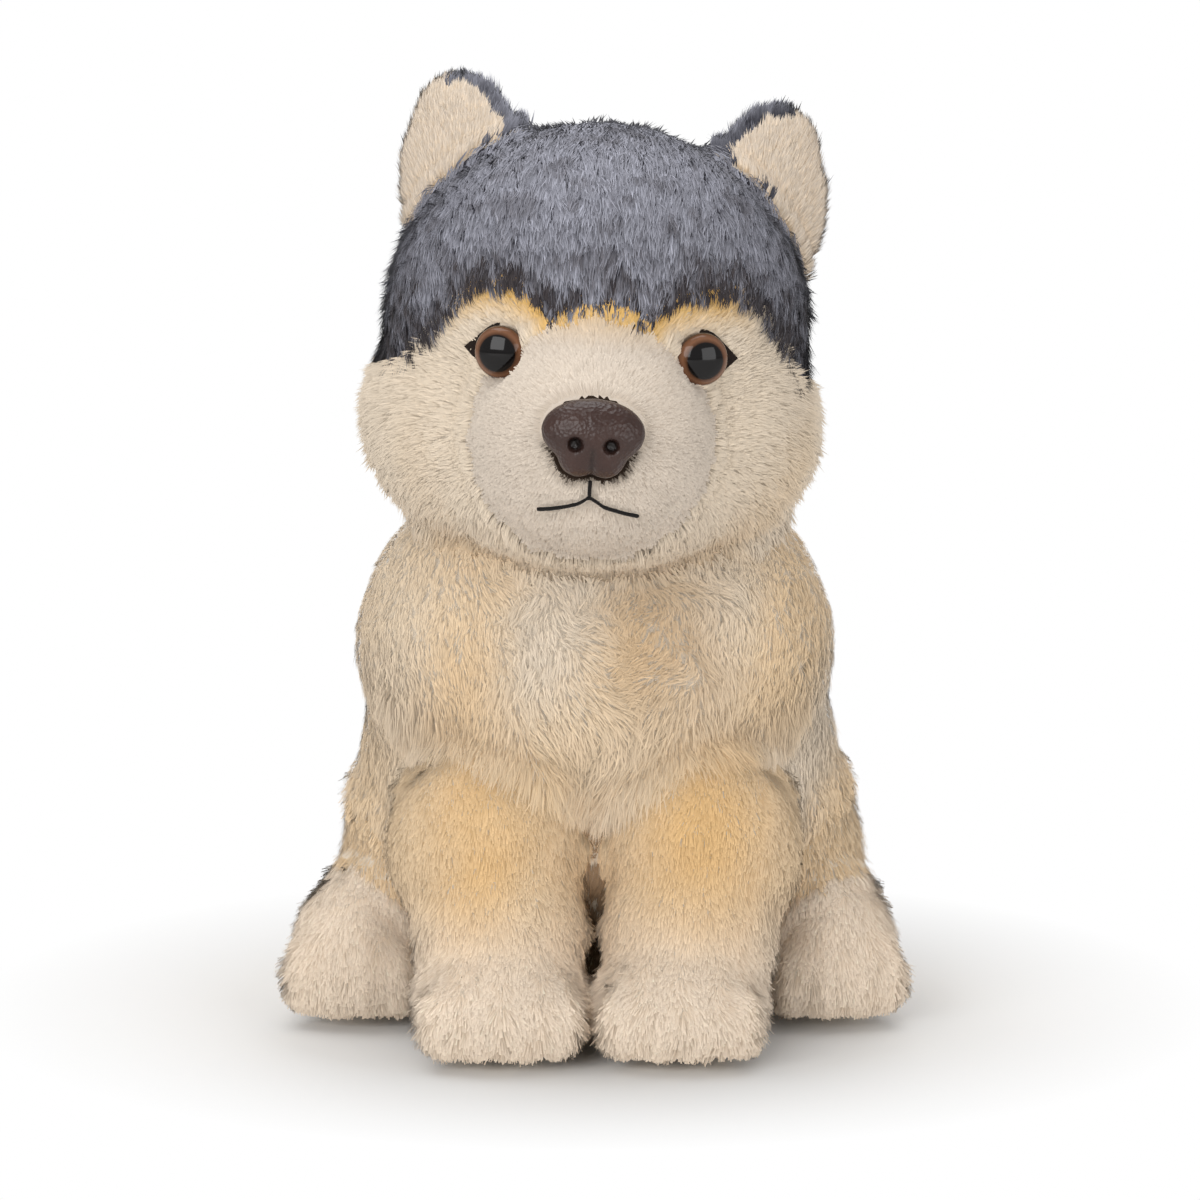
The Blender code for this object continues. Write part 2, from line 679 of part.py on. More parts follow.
def make_mouth(finishes, muzzle_surface):
    """A short thread down from the nose, and a long one that bows down to both sides."""
    frame = head_frame()
    back = frame.to_3x3() @ Vector((0, 1, 0))
    nose_height = NOSE_RAISE - MUZZLE_DROP

    def at(across, down):
        return on_cloth(muzzle_surface, frame @ Vector((across, -BIG, nose_height - down)), back)

    short = [at(0, MOUTH_TOP + (MOUTH_FORK - MOUTH_TOP - MOUTH_END_GAP) * k / 3) for k in range(4)]
    lay_thread("mouth_thread_middle", short, finishes["dark"])
    long = []
    for k in range(-6, 7):
        share = k / 6
        long.append(at(share * MOUTH_HALF, MOUTH_FORK + MOUTH_SAG * abs(share) ** 1.5))
    lay_thread("mouth_thread_wide", long, finishes["dark"])


def make_finishes():
    return {
        "cream": material("plush_cream", CREAM, 0.95),
        "pale": material("plush_pale", PALE, 0.95),
        "grey": material("plush_grey", GREY, 0.95),
        "fibre": material("fibre_white", WHITE, 1.0),
        "white": material("plastic_white", WHITE, 0.5),
        "eye": material("plastic_brown", EYE_BROWN, 0.15),
        "nose": material("plastic_nose", NOSE_BROWN, 0.4),
        "felt": material("felt_dark", FELT_DARK, 0.95),
        "dark": material("thread_dark", THREAD_DARK, 0.9),
        "thread": material("thread_brown", THREAD_BROWN, 0.9),
    }


def make_face(finishes):
    head, face, crown, head_filling = make_head(finishes)
    muzzle, muzzle_cover, muzzle_filling = make_muzzle(finishes, head)
    head_surface = surface(head)
    for side in (-1, 1):
        make_ear(finishes, side, head)
        seat, room = make_eye(finishes, side, head, head_surface)
        carve(face, seat, room)
        carve(head_filling, room)
        carve(muzzle_cover, seat)
        carve(muzzle_filling, seat)
    nose_seat, nose_room = make_nose(finishes, surface(muzzle))
    make_mouth(finishes, surface(muzzle_cover))
    carve(muzzle_cover, nose_seat, nose_room)
    carve(muzzle_filling, nose_seat, nose_room)
    return head, muzzle


def make_limbs(finishes, torso, head, muzzle):
    kinds = {"cloth": finishes["cream"], "fibre": finishes["fibre"]}
    grey = {"cloth": finishes["grey"], "fibre": finishes["fibre"]}
    still = Matrix.Identity(4)
    trunk = grown(torso)
    behind = [trunk]
    for side, name in ((1, "left"), (-1, "right")):
        lumps, toes, paw_at = foreleg_lumps(side)
        near = [trunk, grown(head), grown(muzzle)]
        leg, cover, _ = make_paw("foreleg_" + name, lumps, toes, FORELEG_FACES, kinds, *near)
        toe_threads("foreleg_" + name, cover, paw_at, PAW_HALF, TOE_PITCH, 0, finishes["thread"])
        haunch_at = sided(HAUNCH_AT, side) + Vector((HAUNCH_ASIDE, 0, 0))
        haunch_lumps = [(haunch_at, HAUNCH_HALF, (0, 0, 0))]
        haunch = form("haunch_form_" + name, haunch_lumps, still, LIMB_CELL, 3, HAUNCH_FACES)
        core_faces = HAUNCH_FACES * INNER_SHARE
        core = form("haunch_core_" + name, haunch_lumps, still, LIMB_CORE_CELL, 3, core_faces, CLOTH)
        near = [trunk, grown(leg)]
        stuffed("haunch_" + name, haunch, core, kinds, *near)
        lumps, toes, foot_at = foot_lumps(side)
        near += [grown(haunch)]
        _, cover, _ = make_paw("hind_foot_" + name, lumps, toes, FOOT_FACES, kinds, *near)
        turn = side * FOOT_SPLAY
        thread = finishes["thread"]
        toe_threads("hind_foot_" + name, cover, foot_at, FOOT_HALF, FOOT_TOE_PITCH, turn, thread)
        behind.append(grown(haunch))
    tail = form("tail_form", tail_lumps(), still, LIMB_CELL, 4, TAIL_FACES)
    core = form("tail_core", tail_lumps(), still, LIMB_CORE_CELL, 3, TAIL_FACES * INNER_SHARE, CLOTH)
    stuffed("tail", tail, core, grey, *behind)


def main():
    for obj in list(bpy.data.objects):
        bpy.data.objects.remove(obj)
    finishes = make_finishes()
    head, muzzle = make_face(finishes)
    torso = make_torso(finishes, head)
    make_limbs(finishes, torso, head, muzzle)


main()
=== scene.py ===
# %% [markdown]
# # A plush wolf pup
#
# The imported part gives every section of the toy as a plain, stuffed solid. This lesson dresses them: cloth
# skins, a pile of separate strands, domed eyes, a moulded nose and stitched threads. Everything is in metres,
# the pup faces -Y, and +X is its own left side.

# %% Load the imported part
import math

import bmesh
import bpy
import numpy as np
from mathutils import Euler, Matrix, Vector
from mathutils.bvhtree import BVHTree
from mathutils.kdtree import KDTree


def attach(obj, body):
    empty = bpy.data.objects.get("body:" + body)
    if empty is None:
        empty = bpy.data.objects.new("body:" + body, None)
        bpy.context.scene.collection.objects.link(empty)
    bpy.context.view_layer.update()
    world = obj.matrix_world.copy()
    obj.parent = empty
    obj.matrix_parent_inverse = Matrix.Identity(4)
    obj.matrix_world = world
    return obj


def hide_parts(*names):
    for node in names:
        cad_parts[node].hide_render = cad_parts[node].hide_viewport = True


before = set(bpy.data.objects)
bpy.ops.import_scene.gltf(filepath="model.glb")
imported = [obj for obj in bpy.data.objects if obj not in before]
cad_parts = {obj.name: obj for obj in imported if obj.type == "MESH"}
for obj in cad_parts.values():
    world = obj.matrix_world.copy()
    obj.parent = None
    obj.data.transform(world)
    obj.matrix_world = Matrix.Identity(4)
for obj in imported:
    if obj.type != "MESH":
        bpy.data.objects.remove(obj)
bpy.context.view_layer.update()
MM = 0.001
SIDES = (("left", 1), ("right", -1))

# %% [markdown]
# The head is tilted a little to its own left, as in a snapshot. Its own axes make it easy to say where the
# brow, the cheeks and the eyes are, so points are turned into them before a colour or a length is chosen.

# %% The head's own axes, and small helpers
HEAD_AT = np.array((0.3, -18, 165)) * MM
HEAD_TURN = np.array(Euler((0, math.radians(3.8), math.radians(0.2))).to_matrix())
MUZZLE_AT = np.array((0, -41, -18)) * MM
EYE_RADIUS = 6.2 * MM
EYE_DOME = 3.6 * MM
EYE_TURN = math.radians(17)
EAR_TURN = math.radians(20)


def to_head(points):
    return (points - HEAD_AT) @ HEAD_TURN


def from_head(directions):
    return directions @ HEAD_TURN.T


def unit(vectors):
    return vectors / np.maximum(np.linalg.norm(vectors, axis=1, keepdims=True), 1e-12)


def ramp(value, low, high):
    """0 below low, 1 above high, and a smooth step between."""
    share = np.clip((value - low) / (high - low), 0, 1)
    return share * share * (3 - 2 * share)


def blend(first, second, share):
    return first + (second - first) * np.asarray(share)[..., None]


def drift(points, size, seed):
    """A slow, seeded wander between about -1 and 1, for patches of colour and lean."""
    rng = np.random.default_rng(seed)
    total = np.zeros(len(points))
    for _ in range(5):
        axis = rng.normal(size=3)
        axis *= 2 * math.pi / (size * rng.uniform(0.7, 1.6)) / np.linalg.norm(axis)
        total += np.sin(points @ axis + rng.uniform(0, 2 * math.pi))
    return total / 2.6


def colour(code):
    """A colour written as on the screen, made linear."""
    parts = np.array([int(code[i : i + 2], 16) / 255 for i in (1, 3, 5)])
    return np.where(parts <= 0.04045, parts / 12.92, ((parts + 0.055) / 1.055) ** 2.4)


print("head turned by", HEAD_TURN.round(3).tolist())

# %% [markdown]
# ## Cloth skins
#
# A stuffed section is backing cloth pulled tight over fibre. Each CAD cover and its filling are copied,
# merged and melted into one closed skin with a voxel remesh, smoothed, and drawn in a little, because the
# pile that grows from it stands out again. Where a section is sewn to its neighbour the skin is pushed out
# instead, so that the two close up without a crack.

# %% A skin from the covers of one section
CLOTH_NODES = [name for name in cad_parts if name.endswith("_cover") or name.startswith("ear_")]
SEAM_NEAR = 1.2 * MM
SEAM_FADE = 2.5 * MM
SEAM_PUSH = 1.4 * MM
CLOTH_LOWEST = 0.2 * MM


def only(obj):
    bpy.ops.object.select_all(action="DESELECT")
    obj.select_set(True)
    bpy.context.view_layer.objects.active = obj


def apply_all(obj):
    only(obj)
    for step in list(obj.modifiers):
        bpy.ops.object.modifier_apply(modifier=step.name)


def link(name, mesh):
    obj = bpy.data.objects.new(name, mesh)
    bpy.context.scene.collection.objects.link(obj)
    return obj


def merged_copy(name, nodes):
    """One mesh object with copies of these CAD nodes, their doubles merged."""
    bm = bmesh.new()
    for node in nodes:
        bm.from_mesh(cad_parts[node].data)
    bmesh.ops.remove_doubles(bm, verts=bm.verts, dist=1e-6)
    mesh = bpy.data.meshes.new(name)
    bm.to_mesh(mesh)
    bm.free()
    return link(name, mesh)


def tree_of(nodes):
    points, faces = [], []
    for node in nodes:
        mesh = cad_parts[node].data
        start = len(points)
        points += [vertex.co.copy() for vertex in mesh.vertices]
        faces += [[start + i for i in face.vertices] for face in mesh.polygons]
    return BVHTree.FromPolygons(points, faces)


def melt(piece, cell, smoothing):
    """Adds a voxel remesh with cells of this size, and this many rounds of smoothing."""
    finer = piece.modifiers.new("melt", "REMESH")
    finer.mode = "VOXEL"
    finer.voxel_size = cell
    soften = piece.modifiers.new("soften", "SMOOTH")
    soften.factor = 0.5
    soften.iterations = smoothing


def cloth_skin(name, nodes, cell, smoothing, inset):
    skin = merged_copy(name, nodes)
    melt(skin, cell, smoothing)
    skin.modifiers.new("facets", "TRIANGULATE")
    apply_all(skin)
    bpy.ops.object.shade_smooth()
    neighbours = tree_of([node for node in CLOTH_NODES if node not in nodes])
    mesh = skin.data
    for vertex, normal in zip(mesh.vertices, [n.vector.copy() for n in mesh.vertex_normals]):
        distance = neighbours.find_nearest(vertex.co)[3]
        seam = 1 - min(1.0, max(0.0, (distance - SEAM_NEAR) / SEAM_FADE))
        vertex.co += normal * (SEAM_PUSH * seam - inset * (1 - seam))
        vertex.co.z = max(vertex.co.z, CLOTH_LOWEST)
    print(name, "has", len(mesh.polygons), "faces")
    return skin


# %% The skins of all sections
LIMB_MELT = (("foreleg", 2.1, 3, 1.0), ("haunch", 2.4, 5, 1.6), ("hind_foot", 2.0, 3, 1.8))
skins = {
    "head": cloth_skin("head_cloth", ["face_cover", "crown_cover", "head_filling"], 2.6 * MM, 6, 1.8 * MM),
    "muzzle": cloth_skin("muzzle_cloth", ["muzzle_cover", "muzzle_filling"], 2.0 * MM, 4, 1.0 * MM),
    "torso": cloth_skin("torso_cloth", ["chest_cover", "back_cover", "torso_filling"], 3.0 * MM, 6, 1.6 * MM),
    "tail": cloth_skin("tail_cloth", ["tail_cover", "tail_filling"], 2.2 * MM, 6, 1.5 * MM),
}
for side, _ in SIDES:
    for limb, cell, smoothing, inset in LIMB_MELT:
        nodes = [f"{limb}_{side}_cover", f"{limb}_{side}_filling"]
        skins[f"{limb}_{side}"] = cloth_skin(f"{limb}_{side}_cloth", nodes, cell * MM, smoothing, inset * MM)
    ear = [f"ear_{side}_front", f"ear_{side}_back"]
    skins[f"ear_{side}"] = cloth_skin(f"ear_{side}_cloth", ear, 1.1 * MM, 3, 0.6 * MM)

# %% [markdown]
# The stuffed shoulders are a little full once pile stands on them, so their cloth is taken in.

# %% Take in the shoulders
SHOULDER_TAKE_IN = 1.4 * MM
SHOULDER_LOW, SHOULDER_HIGH, SHOULDER_ASIDE = 94, 138, 30


def rising(value, width):
    """0 below 0, 1 above width, and straight between."""
    return min(max(value / width, 0), 1)


torso = skins["torso"].data
for vertex, normal in zip(torso.vertices, [n.vector.copy() for n in torso.vertex_normals]):
    x, _, z = vertex.co
    share = rising(z / MM - SHOULDER_LOW, 10) * rising(SHOULDER_HIGH - z / MM, 10)
    vertex.co -= normal * SHOULDER_TAKE_IN * share * rising(abs(x) / MM - SHOULDER_ASIDE, 12)

# %% [markdown]
# ## What the pile must leave free
#
# The eyes, the felt corners, the nose and the mouth's threads stay in sight on the real toy: the pile there
# is trimmed or pressed flat. Their places are read from the CAD nodes. The threads between the toes are
# pulled down into the pile, which parts along them.

# %% Places of the eyes, the nose and the threads
PARTS = list(skins)
trees = {}
for part, skin in skins.items():
    corners = [vertex.co.copy() for vertex in skin.data.vertices]
    trees[part] = BVHTree.FromPolygons(corners, [list(face.vertices) for face in skin.data.polygons])


def node_points(node):
    return np.array([vertex.co[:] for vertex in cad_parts[node].data.vertices])


def point_tree(points):
    tree = KDTree(len(points))
    for i, point in enumerate(points):
        tree.insert(point, i)
    tree.balance()
    return tree


eyes = {}
for side, sign in SIDES:
    aim = HEAD_TURN @ np.array((math.sin(EYE_TURN) * sign, -math.cos(EYE_TURN), 0))
    outward = HEAD_TURN @ np.array((math.cos(EYE_TURN) * sign, math.sin(EYE_TURN), 0))
    points = node_points(f"eye_{side}")
    apex = points[np.argmax(points @ aim)]
    eyes[side] = {"at": apex - aim * EYE_DOME, "aim": aim, "out": outward, "up": HEAD_TURN[:, 2]}
    print("eye", side, (eyes[side]["at"] / MM).round(1))

nose_tree = tree_of(["nose"])

# %% [markdown]
# The mouth's thread is slack: its arms sag between the fork and their ends, and the fork is pulled up to
# the short thread under the nose. The shape is bent in the head's own axes and then put back on the cloth.

# %% The mouth's line, and trees to measure from the threads
MOUTH_HALF = 11.5 * MM
MOUTH_SAG = 2.0 * MM
MOUTH_PEAK = 0.9 * MM
MOUTH_FORK = 0.4 * MM
PEAK_REACH = 3.5 * MM
ARMS_BELOW = -27.75 * MM


def relaxed(points):
    """The mouth's thread with its two arms sagging between fork and ends, kept on the muzzle's cloth."""
    local = to_head(points)
    peak = 1 - ramp(np.abs(local[:, 0] - MOUTH_FORK), 0.3 * MM, PEAK_REACH)
    peak = peak * (local[:, 2] < ARMS_BELOW)
    local = local + np.outer(peak * MOUTH_PEAK, (0, 0, 1))
    share = np.clip(np.abs(local[:, 0]) / MOUTH_HALF, 0, 1)
    arms = ramp(np.abs(local[:, 0]), 0.4 * MM, 1.0 * MM)
    local = local - np.outer(arms * MOUTH_SAG * share * (1 - share) * 2, (0, 0, 1))
    moved = from_head(local) + HEAD_AT
    settled = []
    for old, new in zip(points, moved):
        stand = trees["muzzle"].find_nearest(Vector(old))[3]
        at, normal, _, _ = trees["muzzle"].find_nearest(Vector(new))
        settled.append(at + normal * stand)
    return np.array([place[:] for place in settled])


mouth_nodes = [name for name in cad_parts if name.startswith("mouth_thread")]
mouth_tree = point_tree(relaxed(np.concatenate([node_points(name) for name in mouth_nodes])))
toe_points = np.concatenate([node_points(name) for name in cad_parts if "toe_thread" in name])
toe_tree = point_tree(toe_points)

# %% [markdown]
# ## Growing the pile
#
# Plush is thousands of fine strands that lean the same way and stick together in tufts. Particle hair isn't
# part of the mesh, so each strand here is a real, very narrow blade. Short pile is one triangle, wide either
# at the root or at the blunt tip, and long pile is a bent blade of two triangles. A blade is rolled a little
# about its own axis and has a small cell of its own on the UV map. It takes the skin's normal for its
# shading, stored for both of its sides, which makes the pile look soft instead of splintered.

# %% Roots on a skin
def roots_on(skin, count, weight, rng):
    """Random points on the skin, more of them where weight is higher, with the skin's smooth normals."""
    mesh = skin.data
    points = np.empty(len(mesh.vertices) * 3, np.float32)
    mesh.vertices.foreach_get("co", points)
    normals = np.empty(len(mesh.vertices) * 3, np.float32)
    mesh.vertex_normals.foreach_get("vector", normals)
    points, normals = points.reshape(-1, 3).astype(float), normals.reshape(-1, 3).astype(float)
    faces = np.empty(len(mesh.polygons) * 3, np.int32)
    mesh.polygons.foreach_get("vertices", faces)
    faces = faces.reshape(-1, 3)
    a, b, c = (points[faces[:, k]] for k in range(3))
    area = np.linalg.norm(np.cross(b - a, c - a), axis=1) / 2
    middles = (a + b + c) / 3
    chance = area * weight(middles, unit(normals[faces].sum(axis=1)))
    picked = rng.choice(len(faces), size=count, p=chance / chance.sum())
    one, two = rng.random(count), rng.random(count)
    over = one + two > 1
    one[over], two[over] = 1 - one[over], 1 - two[over]
    shares = np.stack([1 - one - two, one, two], axis=1)[:, :, None]
    place = (points[faces[picked]] * shares).sum(axis=1)
    normal = unit((normals[faces[picked]] * shares).sum(axis=1))
    return place, normal


def uncovered(part, place, normal):
    """Which roots lie outside every other section of the toy."""
    others = []
    for other in PARTS:
        corners = np.array([vertex.co[:] for vertex in skins[other].data.vertices])
        if other != part:
            others.append((trees[other], corners.min(axis=0), corners.max(axis=0)))
    free = np.ones(len(place), bool)
    for tree, low, high in others:
        for i in np.flatnonzero(free & (place > low).all(axis=1) & (place < high).all(axis=1)):
            direction = Vector(normal[i])
            hit, facing, _, _ = tree.ray_cast(Vector(place[i]), direction)
            if hit is not None and facing.dot(direction) > 0:
                free[i] = False
    return free


# %% Tufts, and what stays free of them
def tufted(place, tip, size, pull, rng):
    """Draws the tips together into tufts of about this size."""
    low, high = place.min(axis=0), place.max(axis=0)
    spread = np.prod(np.sort(high - low)[1:]) * 2.2
    count = int(min(len(place) / 4, spread / size**2))
    chosen = rng.choice(len(place), size=max(count, 4), replace=False)
    tree = point_tree(place[chosen])
    nearest = np.array([tree.find(point)[1] for point in place])
    target = tip[chosen][nearest]
    share = pull * rng.uniform(0.5, 1.0, len(place))
    return tip + (target - tip) * share[:, None]


CORNER_OUT = 9.1 * MM
CORNER_SLOPE = 0.42
MUZZLE_FRONT = -52 * MM


def clear_of_eyes(root, tip):
    """Which strands cross neither an eye nor its felt corner."""
    keep = np.ones(len(root), bool)
    for eye in eyes.values():
        for points, spare in ((root, 0.1), (tip, -0.6)):
            away = points - eye["at"]
            deep, out, up = away @ eye["aim"], away @ eye["out"], away @ eye["up"]
            near = deep > -8 * MM
            keep &= ~(near & (np.hypot(out, up) < EYE_RADIUS + spare * MM))
            corner = (out > 3 * MM) & (out < CORNER_OUT - 0.2 * MM)
            half_height = (CORNER_OUT - out) * CORNER_SLOPE + (spare - 0.2) * MM
            keep &= ~(near & corner & (np.abs(up) < half_height))
    return keep


def clear_of_nose(root, tip):
    """Which strands don't start or end behind or inside the nose."""
    ahead = Vector(from_head(np.array((0.0, -1.0, 0.0))))
    keep = np.ones(len(root), bool)
    for i in np.flatnonzero(to_head(root)[:, 1] < MUZZLE_FRONT):
        for point in (root[i], tip[i]):
            start = Vector(point) - ahead * 1.5 * MM
            keep[i] &= nose_tree.ray_cast(start, ahead)[0] is None
    return keep


def nearest_distance(tree, points):
    return np.array([tree.find(point)[2] for point in points])


# %% The strands themselves
ROLL = math.radians(5)
SPIKY = {"along": (0, 0, 1), "across": (-1, 1, 0)}
BLUNT = {"along": (0, 1, 1), "across": (0, 1, -1)}
BENT = {"along": (0, 1, 1, 2), "across": (0, -1, 1, 0)}
CELLS = {3: ((0.1, 0.08), (0.9, 0.08), (0.5, 0.92)), 4: ((0.5, 0.06), (0.1, 0.5), (0.9, 0.5), (0.5, 0.94))}
LENGTH_SPREAD = (0.72, 1.1)
WIDTH_SPREAD = (0.75, 1.25)
LIFT_SPREAD = 0.07
BLUNT_SHARE = 0.6
LEAN_IN_NORMAL = 0.15
FLOOR_GAP = 0.3 * MM


def blade_points(plan, path, side, width, tints):
    """Corner places and tints of blades, both as strands x corners x 3."""
    places, shades = [], []
    for level, across in zip(plan["along"], plan["across"]):
        places.append(path[level] + side * (across * width / 2)[:, None])
        shades.append(tints[level])
    return np.stack(places, axis=1), np.stack(shades, axis=1)


def blades(name, path, side, normals, width, tints, blunt):
    """One mesh with a blade for each strand. path and tints are levels x strands x 3, from root to tip."""
    strands = path.shape[1]
    if len(path) == 3:
        points, tint = blade_points(BENT, path, side, width, tints)
        rows = np.array(((0, 2, 1), (1, 2, 3)))
    else:
        points, tint = blade_points(SPIKY, path, side, width, tints)
        other_points, other_tint = blade_points(BLUNT, path, side, width, tints)
        points[blunt], tint[blunt] = other_points[blunt], other_tint[blunt]
        rows = np.array(((0, 1, 2),))
    size = points.shape[1]
    corners = np.arange(strands)[:, None] * size + rows.reshape(-1)
    mesh = bpy.data.meshes.new(name)
    mesh.vertices.add(strands * size)
    mesh.vertices.foreach_set("co", points.reshape(-1))
    mesh.loops.add(corners.size)
    mesh.loops.foreach_set("vertex_index", corners.reshape(-1).astype(np.int32))
    mesh.polygons.add(strands * len(rows))
    mesh.polygons.foreach_set("loop_start", np.arange(0, corners.size, 3, dtype=np.int32))
    mesh.update(calc_edges=True)
    stored = mesh.color_attributes.new("pile", "FLOAT_COLOR", "POINT")
    full = np.concatenate([tint, np.ones((strands, size, 1))], axis=2)
    stored.data.foreach_set("color", full.reshape(-1))
    cells = math.ceil(math.sqrt(strands))
    corner_uv = np.array(CELLS[size])[rows.reshape(-1)]
    column_row = np.stack([np.arange(strands) % cells, np.arange(strands) // cells], axis=1)
    uv = (column_row[:, None, :] + corner_uv[None]) / cells
    layer = mesh.uv_layers.new(name="OFBake")
    layer.uv.foreach_set("vector", uv.reshape(-1))
    mesh.polygons.foreach_set("use_smooth", np.ones(len(mesh.polygons), bool))
    spread = np.repeat(normals, size, axis=0)
    mesh.normals_split_custom_set_from_vertices(spread)
    both_sides = mesh.attributes.new("skin_normal", "FLOAT_VECTOR", "POINT")
    both_sides.data.foreach_set("vector", spread.reshape(-1))
    return link(name, mesh)


def pile(name, part, count, seed, rule, bent=True, width=0.4, tuft=(4.0, 1.5), pull=(0.3, 0.45)):
    """Grows strands on a section. rule gives, for places and normals, a dictionary with the weight, the
    length, the comb direction, the mess, the lift (1 is upright), and the root and tip colours. Fibre lets
    light through, so the strands cast no shadow, and the cloth under them does."""
    rng = np.random.default_rng(seed)
    place, normal = roots_on(skins[part], count, lambda p, n: rule(p, n)["weight"], rng)
    free = uncovered(part, place, normal) & (place[:, 2] > 0.5 * MM)
    place, normal = place[free], normal[free]
    plan = rule(place, normal)
    strands = len(place)
    comb = unit(plan["comb"] - normal * (plan["comb"] * normal).sum(axis=1, keepdims=True))
    comb = comb + rng.normal(size=(strands, 3)) * np.asarray(plan["mess"]).reshape(-1, 1)
    length = plan["length"] * rng.uniform(*LENGTH_SPREAD, strands)
    lift = plan["lift"] + rng.normal(size=strands) * LIFT_SPREAD
    if part == "muzzle":
        length = length * (0.35 + 0.65 * ramp(nearest_distance(mouth_tree, place), 1.0 * MM, 3.2 * MM))
    if "foot" in part or "foreleg" in part:
        found = [toe_tree.find(point) for point in place]
        apart = place - np.array([toe_points[index] for _, index, _ in found])
        near = 1 - ramp(np.array([distance for _, _, distance in found]), 1.5 * MM, 6 * MM)
        comb = comb * (1 - 0.4 * near)[:, None] + unit(apart * (1, 1, 0)) * (0.35 * near)[:, None]
    comb[:, 2] += 1.2 * (1 - ramp(place[:, 2], 0.5 * MM, 9 * MM))
    length = length * (0.4 + 0.6 * ramp(place[:, 2], 0.5 * MM, 12 * MM))
    lean = unit(comb * (1 - lift)[:, None] + normal * lift[:, None])
    straight = place + lean * length[:, None]
    tip = straight
    for size, strength in zip(tuft, pull):
        tip = tufted(place, tip, size * MM, strength, rng)
    middle = place + unit(lean + normal * 0.5) * (length * 0.5)[:, None] + (tip - straight) * 0.3
    for points in (tip, middle):
        points[:, 2] = np.maximum(points[:, 2], FLOOR_GAP)
    keep = clear_of_eyes(place, tip)
    if part == "muzzle":
        keep &= clear_of_nose(place, tip) & (nearest_distance(mouth_tree, tip) > 0.5 * MM)
    shade = 1 + plan.get("speckle", 0.06) * rng.normal(size=strands)[:, None]
    root_tint, tip_tint = plan["root"] * shade, plan["tip"] * shade
    if bent:
        middle_tint = blend(root_tint, tip_tint, np.full(strands, plan.get("step", 0.6)))
        path, tints = np.stack([place, middle, tip]), np.stack([root_tint, middle_tint, tip_tint])
    else:
        path, tints = np.stack([place, tip]), np.stack([root_tint, tip_tint])
    axis = unit(tip - place)
    side = unit(np.cross(axis, normal) + rng.normal(size=(strands, 3)) * 1e-4)
    roll = rng.uniform(-ROLL, ROLL, strands)[:, None]
    side = side * np.cos(roll) + np.cross(axis, side) * np.sin(roll)
    path, tints = path[:, keep], np.clip(tints[:, keep], 0.002, 0.95)
    shown = unit(normal[keep] + unit(tip - place)[keep] * LEAN_IN_NORMAL)
    wide = width * MM * rng.uniform(*WIDTH_SPREAD, keep.sum())
    blunt = rng.random(keep.sum()) < BLUNT_SHARE
    made = blades(name, path, side[keep], shown, wide, tints, blunt)
    made.visible_shadow = False
    print(name, "has", len(made.data.polygons), "triangles")
    return made


# %% [markdown]
# ## Colours and combing
#
# The crown, the back and the tail are pale grey at the tip and darker at the root, and the rest is cream. A
# golden tint lies under the brow, on the chest and down the fronts of the forelegs. Low on the chest, between
# the forelegs, a brown painted shade stands for the shadow there. The pile flows away from the muzzle on the
# face, from the crown's whorl on the head, up the ears, round with the tail, and down everywhere else.

# %% Colours of the pile
# The cream, pale, warm and white roots are a little darker than their tips: partly the fibre's own tone,
# partly painted shade for the depth of the pile, which casts no shadow of its own.
CREAM_TIP, CREAM_ROOT = colour("#E9D9C4"), colour("#E0CDB4")
PALE_TIP, PALE_ROOT = colour("#E2D4C4"), colour("#DACAB8")
WARM_TIP, WARM_ROOT = colour("#EBD0AC"), colour("#E0C096")
WHITE_TIP, WHITE_ROOT = colour("#F5E2CC"), colour("#F0D9BE")
GREY_TIP, GREY_DARK = colour("#B1B2BE"), colour("#302F36")
BROW_DARK = colour("#33261C")
BROW_GOLD = colour("#DFAF58")
GOLD = colour("#E8B976")
TAN = colour("#D2AF84")
# The next brown is painted shade, for the low chest between the forelegs where the legs keep the light off.
BELLY_SHADE = colour("#8F6F4E")
BROW_ACROSS = (-49, -45, -41, -37, -33, -28, -22, -16, -11, -6, 0, 6, 11, 16, 22, 30, 37, 42, 46)
BROW_UP = (-9, -7, -3, 4, 11, 16, 17, 15, 10, 13, 14, 13, 10, 15, 17, 17, 12, 4, -7)
NAPE_SEAM = 12 * MM
SEAM_UP, SEAM_BEHIND = (108, 128), (30, 8)
WHORL_AT = (0, 44, 46)
NOSE_ROOT = (0, -78, -8)


def flat(shade, points):
    return np.broadcast_to(shade, points.shape)


def brow_height(local):
    return np.interp(local[:, 0], np.array(BROW_ACROSS) * MM, np.array(BROW_UP) * MM)


def over_brow(local):
    """How far a point of the head is inside the crown panel, in metres, below 0 outside it."""
    return np.maximum(local[:, 2] - brow_height(local), local[:, 1] - NAPE_SEAM)


def spot(points, at, radius):
    """1 at a spot's middle, fading out at its radius."""
    return 1 - ramp(np.linalg.norm((points - np.array(at) * MM) / (np.array(radius) * MM), axis=1), 0.1, 1.0)


def behind_seam(points):
    """How far a point of the torso is behind the seam of its grey back, which runs forward at the neck."""
    return points[:, 1] - np.interp(points[:, 2], np.array(SEAM_UP) * MM, np.array(SEAM_BEHIND) * MM)


def flow(points, start):
    return unit(points - np.array(start) * MM)


def face_gold(local):
    """Golden tint over each eye and in the middle, just under the brow line."""
    under = 1 - ramp(brow_height(local) - local[:, 2], 2 * MM, 11 * MM)
    inner = 1 - ramp(np.abs(local[:, 0]), 27 * MM, 37 * MM)
    return under * inner * (local[:, 1] < 0)


